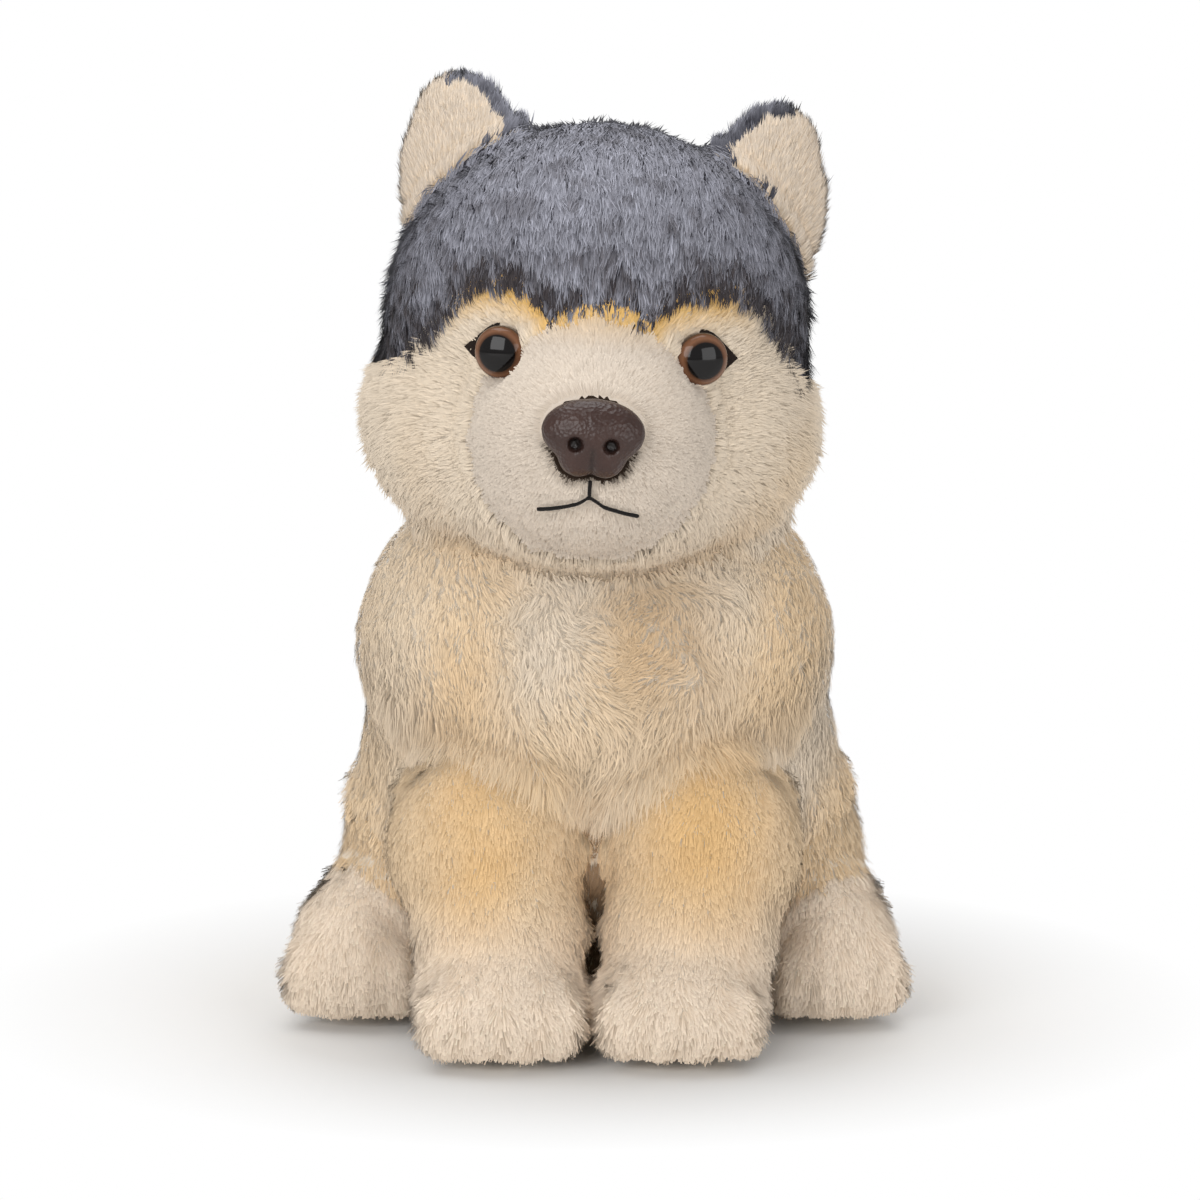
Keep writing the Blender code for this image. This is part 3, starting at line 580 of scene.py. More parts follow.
def crown_rule(points, normals):
    local = to_head(points)
    inside = over_brow(local)
    front = local[:, 1] < 2 * MM
    patch = drift(points, 12 * MM, 5) * 0.5 + drift(points, 5 * MM, 6) * 0.5
    edge = (1 - ramp(local[:, 2] - brow_height(local), 0, 12 * MM)) * front
    over_eye = ramp(np.abs(local[:, 0]), 9 * MM, 14 * MM)
    temple = ramp(np.abs(local[:, 0]), 36 * MM, 44 * MM) * front * (1 - ramp(local[:, 2], 5 * MM, 26 * MM))
    streak = drift(points * (1, 1, 0.3), 3.2 * MM, 7) > 0.1
    fine_streak = drift(points * (1, 1, 0.25), 1.5 * MM, 8) > 0.2
    dark = 0.45 * edge * over_eye + 0.1 * edge + 0.15 * temple + 0.35 * (patch > 0.35)
    dark = dark + (0.35 * streak + 0.45 * fine_streak) * (0.4 + edge + temple)
    dark = np.clip(dark, 0, 0.92)
    top = ramp(local[:, 2], 22 * MM, 42 * MM)
    return {
        "weight": (inside > 0) * (0.55 + 0.45 * ramp(-local[:, 1], -30 * MM, 20 * MM)),
        "length": (7.4 - 1.0 * edge - 1.0 * top) * MM,
        "comb": from_head(flow(local, WHORL_AT)),
        "mess": 0.26,
        "lift": 0.30 + 0.05 * patch - 0.10 * top,
        "root": blend(flat(GREY_DARK, points), flat(GREY_TIP, points), 0.35 * top),
        "tip": blend(flat(GREY_TIP, points), flat(BROW_DARK, points), dark),
        "step": 0.36,
        "speckle": 0.22,
    }


def face_rule(points, normals):
    local = to_head(points)
    off_muzzle = np.linalg.norm(local - MUZZLE_AT, axis=1)
    cheek = ramp(off_muzzle, 34 * MM, 54 * MM) * ramp(-local[:, 2], -8 * MM, 6 * MM)
    low = ramp(-local[:, 2], 26 * MM, 42 * MM)
    comb = from_head(flow(local, (0, -41, -14))) + np.array((0, 0.25, 0))
    comb = comb - np.array((0, 0, 0.55)) * cheek[:, None] - np.array((0, 0, 0.8)) * low[:, None]
    gold = face_gold(local)
    warm = np.clip(0.3 + 0.4 * drift(points, 30 * MM, 41), 0, 1) * cheek
    tip = blend(flat(CREAM_TIP, points), flat(WARM_TIP, points), warm)
    root = blend(flat(CREAM_ROOT, points), flat(WARM_ROOT, points), warm)
    return {
        "weight": (over_brow(local) <= 0) * (0.6 + 0.4 * ramp(-local[:, 1], -20 * MM, 10 * MM)),
        "length": (3.4 + 3.8 * cheek + 2.8 * low) * MM,
        "comb": comb,
        "mess": 0.14 + 0.08 * cheek,
        "lift": 0.26 + 0.06 * cheek,
        "root": blend(root, flat(BROW_GOLD, points), gold),
        "tip": blend(tip, flat(BROW_GOLD, points), 0.85 * gold),
    }


def muzzle_rule(points, normals):
    local = to_head(points)
    top = ramp(local[:, 2], 2 * MM, 11 * MM)
    near_nose = np.array([nose_tree.find_nearest(Vector(point))[3] for point in points])
    rim = 1 - ramp(near_nose, 2.1 * MM, 3.0 * MM)
    tip = blend(flat(PALE_TIP, points), flat(BROW_GOLD, points), 0.6 * top)
    return {
        "weight": np.ones(len(points)),
        "length": (2.8 + 1.4 * top - 1.5 * rim) * MM,
        "comb": from_head(flow(local, NOSE_ROOT)),
        "mess": 0.2,
        "lift": 0.26 + 0.25 * rim,
        "root": blend(flat(PALE_ROOT, points), flat(BROW_DARK, points), rim),
        "tip": blend(tip, flat(BROW_DARK, points), rim),
        "speckle": 0.04,
    }


def torso_rule(points, normals):
    front = ramp(-normals[:, 1], -0.1, 0.5)
    back = ramp(behind_seam(points), -2 * MM, 1 * MM)
    middle = 1 - ramp(np.abs(points[:, 0] - 4 * MM), 24 * MM, 40 * MM)
    ruff = front * middle * ramp(points[:, 2], 55 * MM, 70 * MM)
    hem = front * (1 - ramp(points[:, 2], 78 * MM, 92 * MM))
    tan = spot(points, (15, -50, 96), (26, 34, 24)) * front
    gold = spot(points, (-30, -42, 84), (18, 26, 26)) + spot(points, (30, -48, 70), (16, 20, 12))
    patch = drift(points, 16 * MM, 9)
    fringe_at = (57 + 0.35 * np.abs(points[:, 0] / MM - 2)) * MM
    fringe = 1 - ramp(np.abs(points[:, 2] - fringe_at - 4 * MM), 3 * MM, 9 * MM)
    fringe = front * fringe * (points[:, 1] < -25 * MM)
    flank = ramp(np.abs(points[:, 0]), 36 * MM, 46 * MM) * ramp(points[:, 2], 55 * MM, 68 * MM)
    flank = flank * (1 - ramp(points[:, 2], 82 * MM, 98 * MM))
    # Low between the forelegs the pile is shorter and is tinted brown as painted shade.
    shaded_belly = front * (1 - ramp(points[:, 2], fringe_at - 5 * MM, fringe_at))
    shaded_belly = shaded_belly * (1 - ramp(np.abs(points[:, 0]), 14 * MM, 22 * MM))
    warm = np.clip(0.55 + 0.45 * drift(points, 34 * MM, 43), 0, 1)
    whorl = np.stack([drift(points, 20 * MM, 11), np.zeros(len(points)), drift(points, 20 * MM, 12)], axis=1)
    tip = blend(flat(CREAM_TIP, points), flat(WARM_TIP, points), warm)
    tip = blend(blend(tip, flat(TAN, points), 0.6 * tan), flat(GOLD, points), np.clip(0.4 * gold, 0, 1))
    root = blend(flat(CREAM_ROOT, points), flat(WARM_ROOT, points), warm)
    root = blend(root, flat(TAN, points), 0.5 * tan)
    grey = blend(flat(GREY_TIP, points), flat(GREY_DARK, points), 0.3 * (patch > 0.4))
    return {
        "weight": (normals[:, 2] > -0.75) * (0.5 + 0.5 * front),
        "length": (3.8 + 2.6 * ruff + 1.5 * hem + 4.0 * fringe + 1.4 * flank) * (1 - 0.4 * shaded_belly) * MM,
        "comb": np.array((0, -0.15, -1.0)) + whorl * (0.2 + 0.9 * tan + 0.35 * ruff)[:, None],
        "mess": 0.14 + 0.2 * ruff,
        "lift": 0.20 + 0.05 * patch + 0.14 * tan + 0.08 * ruff + 0.30 * fringe + 0.03 * flank,
        "root": blend(blend(root, flat(BELLY_SHADE, points), 0.8 * shaded_belly), 0.6 * grey, back),
        "tip": blend(blend(tip, flat(BELLY_SHADE, points), 0.8 * shaded_belly), grey, back),
    }


def limb_rule(length, tones, gold_at=None):
    def rule(points, normals):
        patch = drift(points, 14 * MM, 21)
        up = ramp(normals[:, 2], 0.5, 0.9)
        low = 1 - ramp(points[:, 2], 14 * MM, 34 * MM)
        comb = np.stack([0.2 * patch, -0.25 - up, np.full(len(points), -1.0)], axis=1)
        tip, root = flat(tones[0], points), flat(tones[1], points)
        if gold_at:
            gold = spot(points, *gold_at) * ramp(-normals[:, 1], -0.3, 0.4)
            high = ramp(points[:, 2], 18 * MM, 45 * MM)
            tip = blend(tip, flat(WARM_TIP, points), high)
            root = blend(root, flat(WARM_ROOT, points), high)
            gold = gold * np.clip(0.8 + 0.4 * drift(points, 18 * MM, 61), 0, 1)
            tip = blend(tip, flat(GOLD, points), 0.7 * gold)
            root = blend(root, flat(GOLD, points), 0.7 * gold)
        return {
            "weight": (normals[:, 2] > -0.8) * 1.0,
            "length": (length + 1.6 * low) * MM,
            "comb": comb,
            "mess": 0.18 + 0.08 * low,
            "lift": 0.20 + 0.04 * patch - 0.08 * up + 0.10 * low,
            "root": root,
            "tip": tip,
            "speckle": 0.04,
        }

    return rule


def tail_rule(points, normals):
    around = points - np.array((30, 37, 0)) * MM
    comb = np.stack([around[:, 1], -around[:, 0], np.full(len(points), -0.01)], axis=1)
    dark = 0.4 * np.clip(drift(points, 9 * MM, 31) + drift(points, 4 * MM, 32) - 0.2, 0, 1)
    return {
        "weight": (normals[:, 2] > -0.85) * 1.0,
        "length": np.full(len(points), 9.0) * MM,
        "comb": comb,
        "mess": 0.2,
        "lift": np.full(len(points), 0.28),
        "root": flat(GREY_DARK, points),
        "tip": blend(flat(GREY_TIP, points), flat(GREY_DARK, points), dark),
        "speckle": 0.1,
    }


def ear_rule(side, sign, behind):
    """The grey back of an ear wraps over its top and its inner edge, and the front is pale."""
    backward = HEAD_TURN @ np.array((-sign * math.sin(EAR_TURN), math.cos(EAR_TURN), 0))
    outward = HEAD_TURN @ np.array((sign * math.cos(EAR_TURN), math.sin(EAR_TURN), 0))
    base = np.array((sign * 34, 10, 12)) * MM
    mesh = skins[f"ear_{side}"].data
    edge = [
        vertex.co[:]
        for vertex, normal in zip(mesh.vertices, mesh.vertex_normals)
        if abs(normal.vector @ Vector(backward)) < 0.5 and normal.vector @ Vector(outward) < 0.15
    ]
    edge_tree = point_tree(np.array(edge))

    def rule(points, normals):
        near = nearest_distance(edge_tree, points)
        wrap = (2.1 + 0.4 * drift(points, 6 * MM, 51)) * MM * ramp(to_head(points)[:, 2], 27 * MM, 36 * MM)
        grey = (normals @ backward > 0.35) | (near < wrap)
        rim = 1 - ramp(np.abs(normals @ backward), 0.2, 0.75)
        light = 0.2 + 0.45 * rim + 0.1 * drift(points, 4 * MM, 52) + 0.1 * drift(points, 2.6 * MM, 53)
        if sign < 0:
            light = light + 0.25
        tip = blend(flat(GREY_DARK, points), flat(GREY_TIP, points), np.clip(light, 0, 1))
        return {
            "weight": (grey if behind else ~grey) * 1.0 + 1e-9,
            "length": ((4.6 + 1.2 * rim) if behind else (4.0 + 1.2 * rim)) * MM,
            "comb": from_head(unit(to_head(points) - base)),
            "mess": 0.25 if behind else 0.15,
            "lift": 0.34 + 0.08 * rim,
            "root": flat(GREY_DARK if behind else WARM_ROOT, points),
            "tip": tip if behind else flat(PALE_TIP, points),
            "speckle": 0.09,
        }

    return rule


# %% Grow every pile
CROWN_TUFTS = {"tuft": (3.4, 1.3), "pull": (0.42, 0.5), "width": 0.38}
MUZZLE_TUFTS = {"bent": False, "pull": (0.1, 0.3), "width": 0.34}
TORSO_TUFTS = {"tuft": (5.0, 1.8), "pull": (0.35, 0.4), "width": 0.42}
LIMB_TUFTS = {"bent": False, "tuft": (4.5, 1.6), "pull": (0.25, 0.4), "width": 0.36}
EAR_TUFTS = {"tuft": (3.0, 1.2), "pull": (0.25, 0.4)}
FIRST_SEED = {"left": 10, "right": 20}
WHITE, WARM = (WHITE_TIP, WHITE_ROOT), (WARM_TIP, WARM_ROOT)
piles = {}


def grow(name, *details, **tufts):
    piles[name] = pile(name, *details, **tufts)


grow("crown_pile", "head", 80000, 1, crown_rule, **CROWN_TUFTS)
grow("face_pile", "head", 86000, 2, face_rule)
grow("muzzle_pile", "muzzle", 100000, 3, muzzle_rule, **MUZZLE_TUFTS)
grow("torso_pile", "torso", 86000, 4, torso_rule, **TORSO_TUFTS)
grow("tail_pile", "tail", 15000, 5, tail_rule)
for side, sign in SIDES:
    seed = FIRST_SEED[side]
    gold_at = ((sign * 25, -58, 57), (22, 32, 38))
    grow(f"foreleg_{side}_pile", f"foreleg_{side}", 84000, seed, limb_rule(3.8, WHITE, gold_at), **LIMB_TUFTS)
    grow(f"haunch_{side}_pile", f"haunch_{side}", 28000, seed + 1, limb_rule(4.4, WARM), **LIMB_TUFTS)
    grow(f"hind_foot_{side}_pile", f"hind_foot_{side}", 44000, seed + 2, limb_rule(3.6, WHITE), **LIMB_TUFTS)
    for name, behind, count, k in (("inner", False, 10000, 4), ("outer", True, 11000, 5)):
        rule = ear_rule(side, sign, behind)
        grow(f"ear_{side}_{name}_pile", f"ear_{side}", count, seed + k, rule, **EAR_TUFTS)
print("pile triangles:", sum(len(obj.data.polygons) for obj in piles.values()))

# %% [markdown]
# ## Finishes
#
# The pile's colour is stored on each strand, so its material only reads it, adds fine variation, and keeps
# the fibre dull with a little sheen. The cloth below has nearly the same colours, for where it shows.


# %% Materials of pile and cloth
def node(tree, kind, values=()):
    """A new shader node of this kind, with these input values."""
    made = tree.nodes.new("ShaderNode" + kind)
    for name, value in dict(values).items():
        made.inputs[name].default_value = value
    return made


def new_material(name, roughness, specular=0.5):
    made = bpy.data.materials.new(name)
    made.use_nodes = True
    tree = made.node_tree
    shader = tree.nodes["Principled BSDF"]
    shader.inputs["Roughness"].default_value = roughness
    shader.inputs["Specular IOR Level"].default_value = specular
    return made, tree, shader


def noise(tree, scale, detail=3.0, roughness=0.5):
    place = node(tree, "TexCoord")
    made = node(tree, "TexNoise", {"Scale": scale, "Detail": detail, "Roughness": roughness})
    tree.links.new(place.outputs["Object"], made.inputs["Vector"])
    return made.outputs["Fac"]


def mapped(tree, value, low, high):
    made = node(tree, "MapRange", {"To Min": low, "To Max": high})
    tree.links.new(value, made.inputs["Value"])
    return made.outputs["Result"]


def multiplied(tree, colour_socket, factor):
    made = node(tree, "VectorMath")
    made.operation = "SCALE"
    tree.links.new(colour_socket, made.inputs[0])
    tree.links.new(factor, made.inputs["Scale"])
    return made.outputs["Vector"]


def two_tone(tree, factor, first, second):
    made = node(tree, "Mix")
    made.data_type = "RGBA"
    made.inputs["A"].default_value = (*first, 1)
    made.inputs["B"].default_value = (*second, 1)
    tree.links.new(factor, made.inputs["Factor"])
    return made.outputs["Result"]


def bumped(tree, shader, height, strength, distance):
    bump = node(tree, "Bump", {"Strength": strength, "Distance": distance})
    tree.links.new(height, bump.inputs["Height"])
    tree.links.new(bump.outputs["Normal"], shader.inputs["Normal"])


def pile_material(name):
    made, tree, shader = new_material(name, 0.85, 0.15)
    shader.inputs["Sheen Weight"].default_value = 0.06
    shader.inputs["Sheen Roughness"].default_value = 0.5
    stored = node(tree, "VertexColor")
    stored.layer_name = "pile"
    tinted = multiplied(tree, stored.outputs["Color"], mapped(tree, noise(tree, 90), 0.92, 1.08))
    tree.links.new(tinted, shader.inputs["Base Color"])
    outward = node(tree, "Attribute")
    outward.attribute_name = "skin_normal"
    tree.links.new(outward.outputs["Vector"], shader.inputs["Normal"])
    return made


def fuzzy_material(name, first, second, scale, bump, sheen=0.0, roughness=0.9):
    made, tree, shader = new_material(name, roughness, 0.2)
    shader.inputs["Sheen Weight"].default_value = sheen
    tree.links.new(two_tone(tree, noise(tree, scale), first, second), shader.inputs["Base Color"])
    bumped(tree, shader, noise(tree, scale * 2), 0.5, bump)
    return made


pile_finish = {kind: pile_material(kind + "_pile") for kind in ("cream", "pale", "grey")}
cloth_tones = {"cream": CREAM_TIP, "pale": PALE_TIP, "grey": GREY_DARK * 1.6, "rim": BROW_DARK}
cloth_finish = {}
for kind, tone in cloth_tones.items():
    cloth_finish[kind] = fuzzy_material(kind + "_cloth", tone * 0.9, tone, 900, 0.4 * MM)

# %% [markdown]
# The cloth of the head and the torso is cream in front and grey behind, and the muzzle's is dark close
# round the nose, so their faces take one of two materials by where they lie.


# %% Give every section its finishes and its place on the toy
def take(obj, *finishes):
    obj.data.materials.clear()
    for finish in finishes:
        obj.data.materials.append(finish)


NOSE_DARK_REACH = 2.8 * MM


def split_finish(skin, plain, other, test):
    take(skin, cloth_finish[plain], cloth_finish[other])
    middles = np.array([face.center[:] for face in skin.data.polygons])
    for face, second in zip(skin.data.polygons, test(middles)):
        face.material_index = int(second)


def under_nose(points):
    return np.array([nose_tree.find_nearest(Vector(point))[3] for point in points]) < NOSE_DARK_REACH


REPLACED = {
    "head": ("face_cover", "crown_cover"),
    "muzzle": ("muzzle_cover",),
    "torso": ("chest_cover", "back_cover"),
    "tail": ("tail_cover",),
}
for side, _ in SIDES:
    for limb in ("foreleg", "haunch", "hind_foot"):
        part = f"{limb}_{side}"
        take(skins[part], cloth_finish["cream"])
        REPLACED[part] = (f"{part}_cover",)
    take(skins[f"ear_{side}"], cloth_finish["pale"])
    REPLACED[f"ear_{side}"] = (f"ear_{side}_front", f"ear_{side}_back")
split_finish(skins["head"], "cream", "grey", lambda points: over_brow(to_head(points)) > 0)
split_finish(skins["torso"], "cream", "grey", lambda points: behind_seam(points) > 0)
split_finish(skins["muzzle"], "pale", "rim", under_nose)
take(skins["tail"], cloth_finish["grey"])
for part, skin in skins.items():
    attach(skin, "root")
    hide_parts(*REPLACED[part])
for name, obj in piles.items():
    kind = "cream"
    if name.startswith("muzzle") or "inner" in name:
        kind = "pale"
    elif name.startswith(("crown", "tail")) or "outer" in name:
        kind = "grey"
    take(obj, pile_finish[kind])
    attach(obj, "root")
print("dressed", len(skins), "sections with", len(piles), "piles")

# %% [markdown]
# ## Eyes
#
# The eyes are moulded domes: glossy, with a brown ring round a wide black pupil. Each is spun as a half
# profile round the eye's axis, so that its highlight is round, and its colours follow the distance from the
# middle.

# %% Domed eyes
EYE_STOPS = (
    (0.0, (0.004, 0.003, 0.003, 1)),
    (0.68, (0.004, 0.003, 0.003, 1)),
    (0.73, (0.09, 0.038, 0.018, 1)),
    (0.84, (0.20, 0.090, 0.046, 1)),
    (0.95, (0.15, 0.066, 0.034, 1)),
    (1.0, (0.02, 0.009, 0.005, 1)),
)


def eye_material():
    made, tree, shader = new_material("eye_gloss", 0.07, 0.35)
    ring = node(tree, "Attribute")
    ring.attribute_name = "ring"
    colours = node(tree, "ValToRGB")
    stops = colours.color_ramp.elements
    for position, shade in EYE_STOPS[1:-1]:
        stops.new(position).color = shade
    stops[0].color, stops[-1].color = EYE_STOPS[0][1], EYE_STOPS[-1][1]
    tree.links.new(ring.outputs["Fac"], colours.inputs["Fac"])
    fleck = mapped(tree, noise(tree, 700), 0.85, 1.15)
    tree.links.new(multiplied(tree, colours.outputs["Color"], fleck), shader.inputs["Base Color"])
    return made


def spun(name, profile, place, steps=48):
    """A solid of revolution: a half profile of (radius, height), spun round Z and merged."""
    bm = bmesh.new()
    points = [bm.verts.new((radius, 0, height)) for radius, height in profile]
    for first, second in zip(points, points[1:]):
        bm.edges.new((first, second))
    whole = {"cent": (0, 0, 0), "axis": (0, 0, 1), "angle": 2 * math.pi, "steps": steps, "use_merge": True}
    bmesh.ops.spin(bm, geom=bm.verts[:] + bm.edges[:], **whole)
    bmesh.ops.remove_doubles(bm, verts=bm.verts, dist=1e-6)
    bmesh.ops.recalc_face_normals(bm, faces=bm.faces)
    bmesh.ops.transform(bm, matrix=place, verts=bm.verts)
    mesh = bpy.data.meshes.new(name)
    bm.to_mesh(mesh)
    bm.free()
    obj = link(name, mesh)
    only(obj)
    bpy.ops.object.shade_smooth()
    return obj


SHANK_RADIUS = 1.8 * MM
SHANK_BACK = -9 * MM
SKIRT_BACK = -1.8 * MM
SKIRT_RADIUS = EYE_RADIUS * 0.97
DOME_RAISE = 0.15 * MM
DOME_STEPS = 14
eye_gloss = eye_material()
for side, _ in SIDES:
    eye = eyes[side]
    basis = Matrix((eye["out"], np.cross(eye["aim"], eye["out"]), eye["aim"])).transposed().to_4x4()
    place = Matrix.Translation(eye["at"]) @ basis
    profile = [(0, SHANK_BACK), (SHANK_RADIUS, SHANK_BACK)]
    profile += [(SHANK_RADIUS, SKIRT_BACK), (SKIRT_RADIUS, SKIRT_BACK)]
    for i in range(DOME_STEPS):
        angle = math.pi / 2 * i / DOME_STEPS
        profile.append((EYE_RADIUS * math.cos(angle), EYE_DOME * math.sin(angle) + DOME_RAISE))
    profile.append((0, EYE_DOME + DOME_RAISE))
    lens = spun(f"eye_{side}_dome", profile, place)
    away = np.array([vertex.co[:] for vertex in lens.data.vertices]) - eye["at"]
    sideways = away - np.outer(away @ eye["aim"], eye["aim"])
    ring = lens.data.attributes.new("ring", "FLOAT", "POINT")
    ring.data.foreach_set("value", np.linalg.norm(sideways, axis=1) / EYE_RADIUS)
    take(lens, eye_gloss)
    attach(lens, "root")
    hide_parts(f"eye_{side}")

# %% [markdown]
# ## Nose
#
# The nose is one soft-looking moulding with a pebbled front and sunken nostrils. The CAD form is right, so
# a copy is melted to a finer mesh. Its nostrils are pressed in further, a groove is drawn between its two
# lobes, and the pebbles are left to the bump. An attribute paints shade into the nostrils and the groove.


# %% Moulded nose
def nose_material():
    made, tree, shader = new_material("nose_satin", 0.36, 0.5)
    place = node(tree, "TexCoord")
    cells = node(tree, "TexVoronoi", {"Scale": 1100})
    tree.links.new(place.outputs["Object"], cells.inputs["Vector"])
    tone = two_tone(tree, noise(tree, 160, 2), colour("#2A1712"), colour("#432A22"))
    # The hollow attribute paints shade: the nostrils go down to 15 percent of the tone, the groove less.
    hollow_shade = node(tree, "Attribute")
    hollow_shade.attribute_name = "hollow"
    shaded = multiplied(tree, tone, mapped(tree, hollow_shade.outputs["Fac"], 1.0, 0.15))
    tree.links.new(shaded, shader.inputs["Base Color"])
    bumped(tree, shader, cells.outputs["Distance"], 0.4, 0.5 * MM)
    return made


def melted(name, nodes, cell, smoothing, swell, finish):
    """A finer, softer copy of moulded or stitched CAD nodes, swollen by a little."""
    piece = merged_copy(name, nodes)
    melt(piece, cell, smoothing)
    outward = piece.modifiers.new("swell", "DISPLACE")
    outward.mid_level = 0
    outward.strength = swell
    apply_all(piece)
    bpy.ops.object.shade_smooth()
    take(piece, finish)
    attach(piece, "root")
    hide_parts(*nodes)
    print(name, "has", len(piece.data.polygons), "faces")
    return piece


# %% Press the nostrils and the groove in
NOSE_FRONT = 6 * MM
NOSTRIL_OUT, NOSTRIL_DROP, NOSTRIL_DEPTH = 4.1 * MM, 1.2 * MM, 1.9 * MM
NOSTRIL_FLAT, NOSTRIL_EDGE = 0.9 * MM, 2.3 * MM
GROOVE_DEPTH = 0.5 * MM
nose = melted("nose_moulding", ["nose"], 0.5 * MM, 10, 0.2 * MM, nose_material())
across, raised, ahead = HEAD_TURN[:, 0], HEAD_TURN[:, 2], -HEAD_TURN[:, 1]
shape = np.array([vertex.co[:] for vertex in nose.data.vertices])
foremost = (shape @ ahead).max()
centre = shape[shape @ ahead > foremost - NOSE_FRONT].mean(axis=0)
away = shape - centre
hollow = np.zeros(len(shape))
for side in (-1, 1):
    apart = away - across * side * NOSTRIL_OUT + raised * NOSTRIL_DROP
    hollow += 1 - ramp(np.hypot(apart @ across, apart @ raised), NOSTRIL_FLAT, NOSTRIL_EDGE)
hollow = np.clip(hollow, 0, 1) * (away @ ahead > -1 * MM)
groove = 1 - ramp(np.abs(away @ across), 0.2 * MM, 0.9 * MM)
groove = groove * (1 - ramp(away @ raised, -3 * MM, -1 * MM)) * (away @ ahead > -2 * MM)
shape -= ahead * (hollow * NOSTRIL_DEPTH + groove * GROOVE_DEPTH)[:, None]
nose.data.vertices.foreach_set("co", shape.reshape(-1))
# Painted shade for the hollows: full in the nostrils, 0.4 of it in the groove.
dark = nose.data.attributes.new("hollow", "FLOAT", "POINT")
dark.data.foreach_set("value", np.clip(hollow + 0.4 * groove, 0, 1))
nose.data.update()

# %% [markdown]
# ## Threads, felt, fibre and washers
#
# Fibre and washers keep their CAD shapes and only need their finish. The felt corners and the threads
# between the toes are copies, pressed in as the cloth was drawn in, and a little more, since a pulled thread
# sinks into the pile. The mouth's thread is a finer copy, bent to the slack line from above.

# %% Finishes of the small pieces
TOE_SINK = {"foreleg": 2.2 * MM, "hind_foot": 3.2 * MM}
FELT_SINK = 2.3 * MM
FINISHES = {}
for word, name, dark, light, scale, bump, sheen, roughness in (
    ("mouth", "stitch_black", "#060505", "#1E1917", 2600, 0.4, 0.1, 0.8),
    ("toe", "stitch_brown", "#4A3524", "#8A6C4C", 2600, 0.3, 0.3, 0.7),
    ("felt", "felt_brown", "#0E0907", "#2C1D15", 1500, 0.3, 0.3, 0.9),
    ("filling", "loose_fibre", "#DAD9D4", "#F6F5F1", 500, 0.6, 0.2, 0.9),
    ("washer", "washer_plastic", "#DEDDD6", "#EFEEE9", 300, 0.05, 0.0, 0.5),
):
    FINISHES[word] = fuzzy_material(name, colour(dark), colour(light), scale, bump * MM, sheen, roughness)
for name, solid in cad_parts.items():
    for word, finish in FINISHES.items():
        if word in name:
            take(solid, finish)
for side, _ in SIDES:
    felt = merged_copy(f"eye_{side}_felt_corner", [f"eye_{side}_felt"])
    for vertex in felt.data.vertices:
        vertex.co -= Vector(eyes[side]["aim"]) * FELT_SINK
    take(felt, FINISHES["felt"])
    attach(felt, "root")
    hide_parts(f"eye_{side}_felt")
for side, _ in SIDES:
    for limb in ("foreleg", "hind_foot"):
        part = f"{limb}_{side}"
        nodes = [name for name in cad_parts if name.startswith(part + "_toe_thread")]
        stitch = merged_copy(part + "_toe_stitches", nodes)
        for vertex in stitch.data.vertices:
            vertex.co -= trees[part].find_nearest(vertex.co)[1] * TOE_SINK[limb]
        take(stitch, FINISHES["toe"])
        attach(stitch, "root")
        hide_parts(*nodes)
mouth = melted("mouth_stitch", mouth_nodes, 0.22 * MM, 1, 0.08 * MM, FINISHES["mouth"])
places = relaxed(np.array([vertex.co[:] for vertex in mouth.data.vertices]))
mouth.data.vertices.foreach_set("co", places.reshape(-1))
mouth.data.update()

# %% [markdown]
# ## Studio
#
# Four large soft lamps stand round the toy: the strongest in front at the upper left, a weaker one at the
# right, one above and one behind. A plain sky fills in. The pale floor keeps the soft shadow by the toy
# and, to the camera, turns plain white further away.


# %% Floor, sky and lamps
FLOOR_TONE = (0.8, 0.795, 0.785, 1)
SHADOW_KEPT, SHADOW_GONE = 0.085, 0.15
SKY_STRENGTH = 0.46


def floor_material():
    made = bpy.data.materials.new("studio_floor")
    made.use_nodes = True
    tree = made.node_tree
    tree.nodes.clear()
    out = node(tree, "OutputMaterial")
    matte = node(tree, "BsdfDiffuse", {"Color": FLOOR_TONE})
    glow = node(tree, "Emission")
    place = node(tree, "TexCoord")
    away = node(tree, "VectorMath")
    away.operation = "LENGTH"
    far = node(tree, "MapRange", {"From Min": SHADOW_KEPT, "From Max": SHADOW_GONE})
    rays = node(tree, "LightPath")
    share = node(tree, "Math")
    share.operation = "MULTIPLY"
    mixed = node(tree, "MixShader")
    for start, end in (
        (place.outputs["Object"], away.inputs[0]),
        (away.outputs["Value"], far.inputs["Value"]),
        (far.outputs["Result"], share.inputs[1]),
        (rays.outputs["Is Camera Ray"], share.inputs[0]),
        (share.outputs[0], mixed.inputs[0]),
        (matte.outputs[0], mixed.inputs[1]),
        (glow.outputs[0], mixed.inputs[2]),
        (mixed.outputs[0], out.inputs[0]),
    ):
        tree.links.new(start, end)
    return made


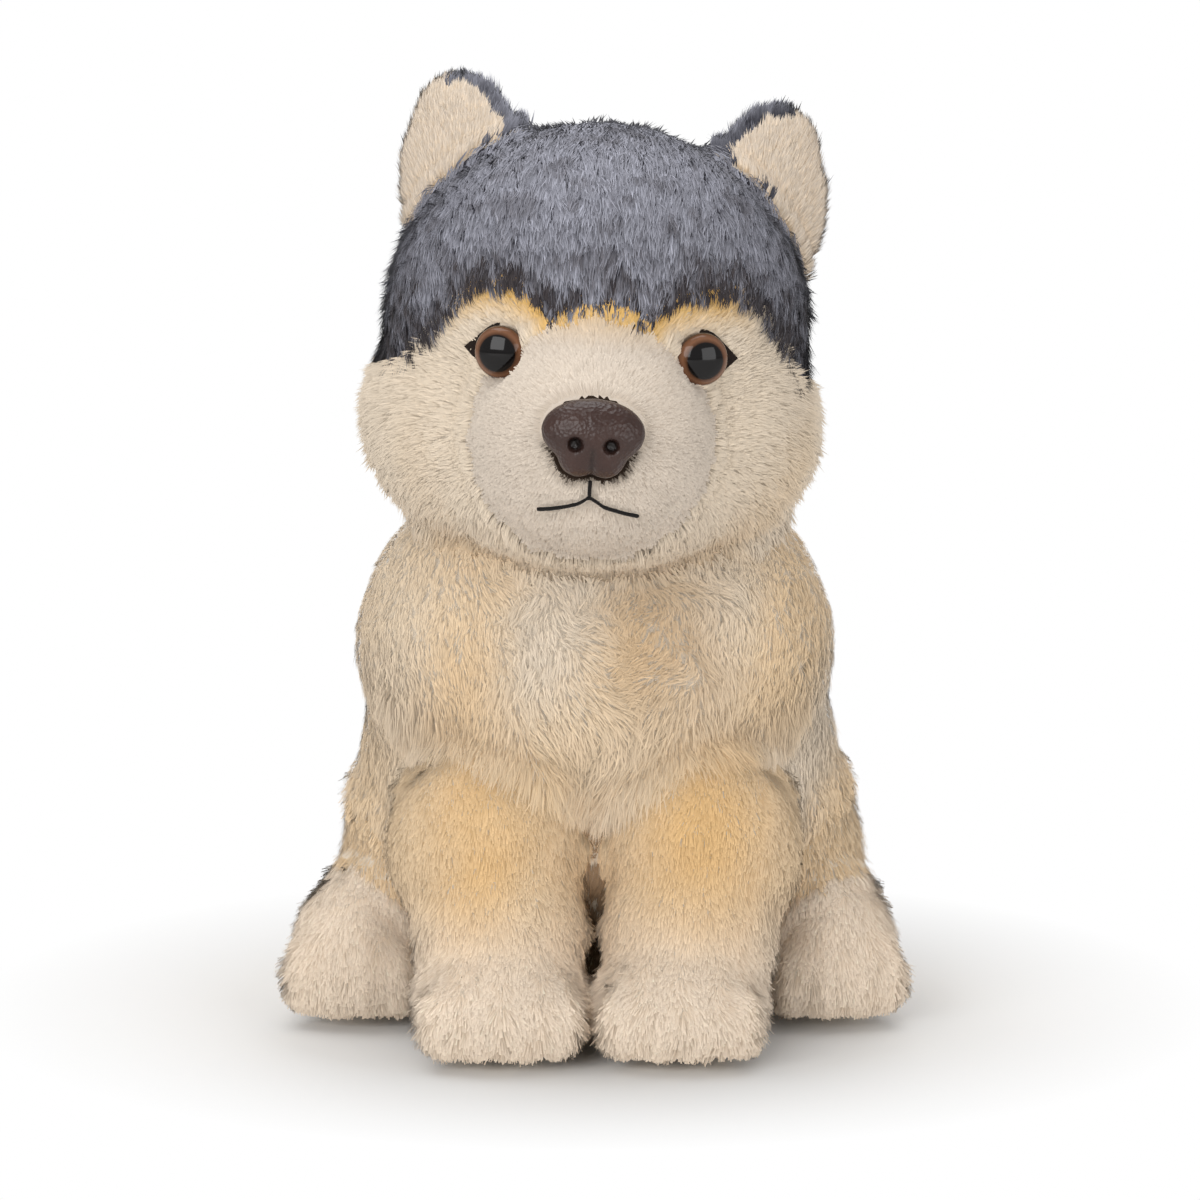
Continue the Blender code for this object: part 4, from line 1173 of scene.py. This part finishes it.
def studio_sky():
    world = bpy.data.worlds.new("studio_sky")
    bpy.context.scene.world = world
    world.use_nodes = True
    tree = world.node_tree
    tree.nodes.clear()
    out = node(tree, "OutputWorld")
    plain = node(tree, "Background", {"Color": (1, 1, 1, 1), "Strength": SKY_STRENGTH})
    white = node(tree, "Background", {"Color": (1, 1, 1, 1), "Strength": 1.0})
    rays = node(tree, "LightPath")
    mixed = node(tree, "MixShader")
    tree.links.new(rays.outputs["Is Camera Ray"], mixed.inputs[0])
    tree.links.new(plain.outputs[0], mixed.inputs[1])
    tree.links.new(white.outputs[0], mixed.inputs[2])
    tree.links.new(mixed.outputs[0], out.inputs[0])


def lamp(name, place, size, watts, aim=(0, 0, 0.1)):
    data = bpy.data.lights.new(name, "AREA")
    data.shape = "SQUARE"
    data.size = size
    data.energy = watts
    obj = bpy.data.objects.new(name, data)
    bpy.context.scene.collection.objects.link(obj)
    obj.location = place
    obj.rotation_euler = (Vector(aim) - Vector(place)).to_track_quat("-Z", "Y").to_euler()


bpy.ops.object.select_all(action="DESELECT")
bpy.ops.mesh.primitive_plane_add(size=14, location=(0, 0, -0.3 * MM))
floor = bpy.context.active_object
floor.name = "studio_floor"
take(floor, floor_material())
studio_sky()
lamp("key_lamp", (-0.8, -1.3, 0.8), 1.1, 13.2)
lamp("fill_lamp", (1.1, -1.2, 0.35), 1.1, 8.2)
lamp("top_lamp", (-0.1, 0.3, 1.3), 1.0, 7)
lamp("back_lamp", (0.2, 1.5, 0.6), 1.0, 8)

# %% [markdown]
# The camera stands far away and looks down a little. Its lens follows from the width that the picture
# shows at the toy.

# %% Camera
VIEW_UP = math.radians(10)
VIEW_FAR = 2.0
SENSOR = 36
VIEW_WIDE = 1200 * 0.24 * MM
target = Vector((1.2 * MM, 0, 98.6 * MM))
camera_data = bpy.data.cameras.new("camera")
camera_data.sensor_width = SENSOR
camera_data.lens = SENSOR * VIEW_FAR / VIEW_WIDE
camera = bpy.data.objects.new("camera", camera_data)
bpy.context.scene.collection.objects.link(camera)
camera.location = target + Vector((0, -math.cos(VIEW_UP), math.sin(VIEW_UP))) * VIEW_FAR
camera.rotation_euler = (target - camera.location).to_track_quat("-Z", "Y").to_euler()
bpy.context.scene.camera = camera
bpy.context.scene.view_settings.view_transform = "Standard"
